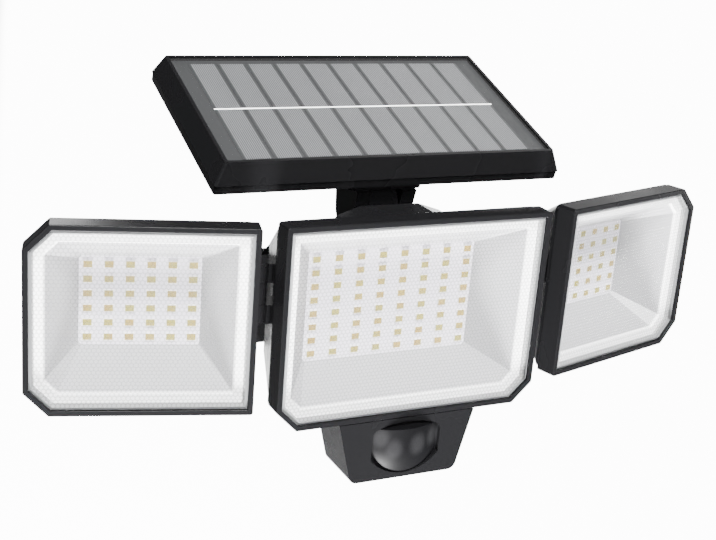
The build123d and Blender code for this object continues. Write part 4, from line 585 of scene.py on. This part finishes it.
# %% Make the LEDs
LED_SIZE = (4.8, 3.9, 0.8)
BOARD_FACE = 31.65                      # depth of the LED board's face
TUB_EDGE, TUB_RIM = 0.06, 0.2           # bevel of the outer edge, and width of the rim
FLOOR_SHARE = 1.35                      # inset of the sunk floor, as a share of the rim's
TUB_SUNK = 0.22
GEL_INSET, GEL_RISE, GEL_DEPTH = 0.25, 0.14, 0.2


def led_tub():
    """Closed block, rows of rectangles: back, front outside, front inside, sunk floor."""
    w, h, deep = LED_SIZE[0] / 2, LED_SIZE[1] / 2, LED_SIZE[2]
    floor = TUB_RIM * FLOOR_SHARE
    square = np.array([(1, -1), (1, 1), (-1, 1), (-1, -1)], float)
    rows = [(0.0, deep), (0.0, TUB_EDGE), (TUB_EDGE, 0.0), (TUB_RIM, 0.0), (floor, TUB_SUNK)]
    points = np.concatenate([np.column_stack([square * (w - inset, h - inset), np.full(4, d)])
                             for inset, d in rows])
    caps = np.array([[3, 2, 1, 0], [16, 17, 18, 19]])
    return points, np.concatenate([grid_faces(len(rows), 4, close_columns=True), caps])


def gel_cushion(steps=5):
    """Cushion of gel over a rectangle: depth = border - rise * (1 - u^2)(1 - v^2)."""
    u, v = np.meshgrid(np.linspace(-1, 1, steps), np.linspace(-1, 1, steps), indexing="ij")
    depth = GEL_DEPTH - GEL_RISE * (1 - u**2) * (1 - v**2)
    half_width, half_height = LED_SIZE[0] / 2 - GEL_INSET, LED_SIZE[1] / 2 - GEL_INSET
    points = np.stack([u * half_width, v * half_height, depth], -1).reshape(-1, 3)
    return points, grid_faces(steps, steps, flip=True)


for side, head in HEADS.items():
    (columns, rows), (pitch_x, pitch_z) = head["leds"], head["pitch"]
    gx, gz = np.meshgrid((np.arange(columns) - (columns - 1) / 2) * pitch_x,
                         (np.arange(rows) - (rows - 1) / 2) * pitch_z)
    depth = np.full(gx.size, BOARD_FACE - LED_SIZE[2])
    places = np.column_stack([gx.ravel(), gz.ravel(), depth])
    for shape, label, material in ((led_tub(), "led_tubs", led_white),
                                   (gel_cushion(), "led_gel", phosphor)):
        points, faces = copies(*shape, places)
        mesh_piece(f"{side}_{label}", on_head(head, *points.T), faces,
                               head["body"], material, sharp=30)
    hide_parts(f"{side}_leds")
    print(side, len(places), "LEDs")

# %% [markdown]
# ## Solar panel
# Ten strips of silicon lie on a dark grey laminate under satin glass. Fine silver fingers run
# along each strip and a tinned ribbon crosses them in the middle. The glass is close to clear
# but its satin face spreads the sky's light, which is why the cells look grey and not black.
# The fingers are a wave across each strip, drawn coarser than real ones so that they show.

# %% Panel finishes
STRIP_PITCH, STRIP_WIDTH, FINGERS = 16.7 * MM, 13.4 * MM, 12
FINGER_PITCH = STRIP_WIDTH / FINGERS
FINGER_EDGE = (0.28, 0.42)              # a finger's soft edge, as shares of the finger pitch
STRIP_EDGE = 0.1 * MM
CLOUD_PATCH = 1 / 60                    # metres, 17 mm
LAMINATE_GREY, FINGER_SILVER = "#18191a", "#606162"
SILICON_DARK, SILICON_LIGHT = "#2c2d2f", "#353638"
# Laminate: pressed resin sheet with a weave-like grain 0.8 mm wide, dull and dark.
laminate, _, shader = moulded_plastic("grey_laminate", LAMINATE_GREY, 0.4, 0.5,
                                      0.8 * MM, 0.01 * MM)
shader.inputs["Specular IOR Level"].default_value = 0.25
# Cells: etched silicon with printed silver fingers, in soft clouds of slightly uneven coating.
silicon, tree, shader = finish_of("monocrystalline_silicon", SILICON_DARK, 0.36)
shader.inputs["Specular IOR Level"].default_value = 0.35
place = add(tree, "ShaderNodeTexCoord").outputs["Object"]
grain_bump(tree, shader, place, 0.6 * MM, 0.006 * MM)
across = add(tree, "ShaderNodeSeparateXYZ", {0: place}).outputs[0]
in_strip = add(tree, "ShaderNodeMath", {0: across, 1: STRIP_PITCH, 2: 0.0}, operation="WRAP")
from_middle = add(tree, "ShaderNodeMath", {0: in_strip.outputs[0], 1: STRIP_PITCH / 2},
                  operation="SUBTRACT")
off_middle = add(tree, "ShaderNodeMath", {0: from_middle.outputs[0]},
                 operation="ABSOLUTE").outputs[0]
wave = add(tree, "ShaderNodeMath", {0: off_middle, 1: FINGER_PITCH / 2}, operation="PINGPONG")
finger = add(tree, "ShaderNodeMapRange",
             {"Value": wave.outputs[0], "From Min": FINGER_PITCH * FINGER_EDGE[0],
              "From Max": FINGER_PITCH * FINGER_EDGE[1]}, interpolation_type="SMOOTHSTEP")
on_strip = add(tree, "ShaderNodeMapRange",
               {"Value": off_middle, "From Min": STRIP_WIDTH / 2,
                "From Max": STRIP_WIDTH / 2 + STRIP_EDGE, "To Min": 1.0, "To Max": 0.0})
cloud = add(tree, "ShaderNodeTexNoise",
            {"Vector": place, "Scale": 1 / CLOUD_PATCH, "Detail": 2.0})
ground = add(tree, "ShaderNodeMix", {6: linear(SILICON_DARK), 7: linear(SILICON_LIGHT),
                                     "Factor": cloud.outputs[0]}, data_type="RGBA")
striped = add(tree, "ShaderNodeMix", {6: ground.outputs[2], 7: linear(FINGER_SILVER),
                                      "Factor": finger.outputs[0]}, data_type="RGBA")
tone = add(tree, "ShaderNodeMix", {6: linear(LAMINATE_GREY), 7: striped.outputs[2],
                                   "Factor": on_strip.outputs[0]}, data_type="RGBA")
tree.links.new(tone.outputs[2], shader.inputs["Base Color"])
# Ribbon: rolled copper dipped in tin, a soft white metal under the glass.
tin, _, _ = moulded_plastic("tinned_ribbon", "#f8f8f6", 0.35, 0.45)
# Glass: tempered, with a satin texture 0.5 mm wide that blurs what it mirrors.
satin_glass, tree, shader = finish_of("satin_tempered_glass", "#ffffff", 0.22, Alpha=0.006)
place = add(tree, "ShaderNodeTexCoord").outputs["Object"]
grain_bump(tree, shader, place, 0.5 * MM, 0.01 * MM)
for node_name, material in (("cell_sheet", laminate), ("solar_cells", silicon),
                            ("cell_ribbon", tin), ("panel_glass", satin_glass)):
    wear(nodes[node_name], material)
print("panel: finger pitch", round(FINGER_PITCH / MM, 2), "mm")

# %% [markdown]
# ## Sensor eye
# The eye is a shell of moulded smoked polyethylene: dark, waxy and soft in its reflections.
# Four soft paler spots on it are painted highlights, the lamps' reflections on the dome, each
# fading out over its own radius: 1 - smoothstep of the distance from its centre, measured across
# the face, with heights shortened because the face leans.

# %% Smoked polyethylene
# Painted highlights: where each pale spot sits on the eye and how far it reaches.
HIGHLIGHT_SPOTS = ((-8.0, -31.5, 6.4), (5.6, -30.0, 6.8),         # mm across, up, and radius
         (15.8, -27.5, 6.0), (-15.0, -25.5, 6.0))
HIGHLIGHT_CORE = 0.25                        # share of the radius that is fully pale
HEIGHT_SHARE = 0.8
# The paler grey is the colour of the painted highlights.
PE_DARK, PE_HIGHLIGHT = "#080809", "#171718"
smoked_pe, tree, shader = finish_of("smoked_polyethylene", PE_DARK, 0.45, IOR=1.2)
shader.inputs["Specular IOR Level"].default_value = 0.2
place = add(tree, "ShaderNodeTexCoord").outputs["Object"]
grain_bump(tree, shader, place, 2.0 * MM, 0.006 * MM)
on_face = add(tree, "ShaderNodeVectorMath", {0: place, 1: (1.0, 0.0, HEIGHT_SHARE)},
              operation="MULTIPLY").outputs[0]
highlights = None
for across, height, radius in HIGHLIGHT_SPOTS:
    middle = (across * MM, 0.0, height * HEIGHT_SHARE * MM)
    away = add(tree, "ShaderNodeVectorMath", {0: on_face, 1: middle}, operation="DISTANCE")
    soft = add(tree, "ShaderNodeMapRange",
               {"Value": away.outputs["Value"], "From Min": radius * HIGHLIGHT_CORE * MM,
                "From Max": radius * MM, "To Min": 1.0, "To Max": 0.0},
               interpolation_type="SMOOTHSTEP").outputs[0]
    highlights = soft if highlights is None else add(tree, "ShaderNodeMath", {0: highlights, 1: soft},
                                           operation="MAXIMUM").outputs[0]
# Painted highlights: the dark shell is mixed towards the paler grey inside the spots.
tone = add(tree, "ShaderNodeMix", {6: linear(PE_DARK), 7: linear(PE_HIGHLIGHT), "Factor": highlights},
           data_type="RGBA")
tree.links.new(tone.outputs[2], shader.inputs["Base Color"])
wear(nodes["sensor_lens"], smoked_pe)
print("sensor eye:", len(HIGHLIGHT_SPOTS), "pale spots")

# %% [markdown]
# ## Floor
# The floor is plain white acrylic and lies well below the light. It glows behind the piece, as a
# lit backdrop would, and stays dim to the sides, so that it lights the black sides as little as
# a dark studio does. Where it glows is a place on the floor: two soft borders, each a straight
# line given by its direction and by where the ramp starts and stops.

# %% Floor
FLOOR_DROP, FLOOR_HALF = 1.5, 30.0      # metres
GLOW_BORDERS = (((0.98, -0.2, 0.0), -0.4, -0.22), ((0.456, 0.89, 0.0), 1.75, 2.05))
DIM, BRIGHT = 0.12, 13.0
floor_white, tree, shader = finish_of("white_acrylic_table", "#e2e2e2", 0.6)
place = add(tree, "ShaderNodeTexCoord").outputs["Object"]
inside = []
for direction, start, stop in GLOW_BORDERS:
    along = add(tree, "ShaderNodeVectorMath", {0: place, 1: direction}, operation="DOT_PRODUCT")
    inside.append(add(tree, "ShaderNodeMapRange",
                      {"Value": along.outputs["Value"], "From Min": start, "From Max": stop},
                      interpolation_type="SMOOTHSTEP").outputs[0])
both = add(tree, "ShaderNodeMath", {0: inside[0], 1: inside[1]}, operation="MULTIPLY")
glow = add(tree, "ShaderNodeMapRange",
           {"Value": both.outputs[0], "To Min": DIM, "To Max": BRIGHT})
tree.links.new(glow.outputs[0], shader.inputs["Emission Strength"])
shader.inputs["Emission Color"].default_value = (1, 1, 1, 1)
mesh = bpy.data.meshes.new("floor")
mesh.from_pydata([(x * FLOOR_HALF, y * FLOOR_HALF, -FLOOR_DROP)
                  for x, y in ((-1, -1), (1, -1), (1, 1), (-1, 1))], [], [(0, 1, 2, 3)])
mesh.materials.append(floor_white)
floor = bpy.data.objects.new("floor", mesh)
bpy.context.scene.collection.objects.link(floor)
print("floor", FLOOR_DROP, "m below the wall plate's middle")

# %% [markdown]
# ## Light
# Six soft lamps stand round the light as in a studio: two keys from the front left, one high and
# one low, a wide fill in front, two cards behind that draw thin lines of light along the rims,
# and one overhead. A narrow spread keeps a lamp's light off the floor.

# %% Lights
# Name, place and target in metres, width in metres, power in watts, spread in degrees.
LAMPS = (
    ("key_high", (-0.3, -1.5, 1.9), (0, -0.1, 0.02), 1.2, 26, 24),
    ("key_low", (-0.3, -0.72, -1.4), (0, -0.14, 0.02), 0.5, 36, 50),
    ("front_fill", (-0.45, -2.5, 0.75), (0, -0.1, 0.02), 1.8, 13, 24),
    ("back_card_left", (0.25, 2.7, 1.0), (-0.19, -0.1, 0.09), 0.6, 1.0, 60),
    ("back_card_right", (2.0, 2.2, 1.0), (0.15, -0.1, 0.09), 0.7, 0.35, 60),
    ("sky_card", (1.3, 1.1, 2.0), (0.08, -0.05, 0.12), 0.7, 2.4, 120),
)
ROOM_LIGHT = 0.07
for name, place, target, width, power, spread in LAMPS:
    data = bpy.data.lights.new(name, "AREA")
    data.shape, data.size, data.energy = "SQUARE", width, power
    data.spread = math.radians(spread)
    lamp = bpy.data.objects.new(name, data)
    lamp.location = place
    lamp.rotation_euler = (Vector(target) - Vector(place)).to_track_quat("-Z", "Y").to_euler()
    bpy.context.scene.collection.objects.link(lamp)
world = bpy.data.worlds.new("studio")
world.use_nodes = True
world.node_tree.nodes["Background"].inputs[0].default_value = (1, 1, 1, 1)
world.node_tree.nodes["Background"].inputs[1].default_value = ROOM_LIGHT
bpy.context.scene.world = world
print("lamps:", len(LAMPS), "with", round(sum(lamp[4] for lamp in LAMPS), 1), "W in all")

# %% [markdown]
# ## Camera
# The camera stands where the photograph was taken from: in front, to the left and a little
# above, with the same slight roll. Its place, turn and focal length come from fitting the
# heads' and the panel's corners.

# %% Camera
YAW, PITCH, ROLL = math.radians(27.12), math.radians(18.37), math.radians(4.63)
CAMERA_PLACE = (-0.31097, -0.69197, 0.26909)
FOCAL_PIXELS, IMAGE_WIDTH, SENSOR_WIDTH = 1294.0, 716, 36.0
forward = Vector((math.sin(YAW) * math.cos(PITCH), math.cos(YAW) * math.cos(PITCH),
                  -math.sin(PITCH)))
right = Vector((math.cos(YAW), -math.sin(YAW), 0))
up = right.cross(forward)
rolled_right = right * math.cos(ROLL) + up * math.sin(ROLL)
rolled_up = up * math.cos(ROLL) - right * math.sin(ROLL)
turn = Matrix((rolled_right, rolled_up, -forward)).transposed().to_4x4()
camera_data = bpy.data.cameras.new("photo_camera")
camera_data.sensor_width = SENSOR_WIDTH
camera_data.lens = SENSOR_WIDTH * FOCAL_PIXELS / IMAGE_WIDTH
camera_data.clip_end = 100
camera = bpy.data.objects.new("photo_camera", camera_data)
camera.matrix_world = Matrix.Translation(CAMERA_PLACE) @ turn
bpy.context.scene.collection.objects.link(camera)
bpy.context.scene.camera = camera
print("focal length", round(camera_data.lens, 1), "mm")
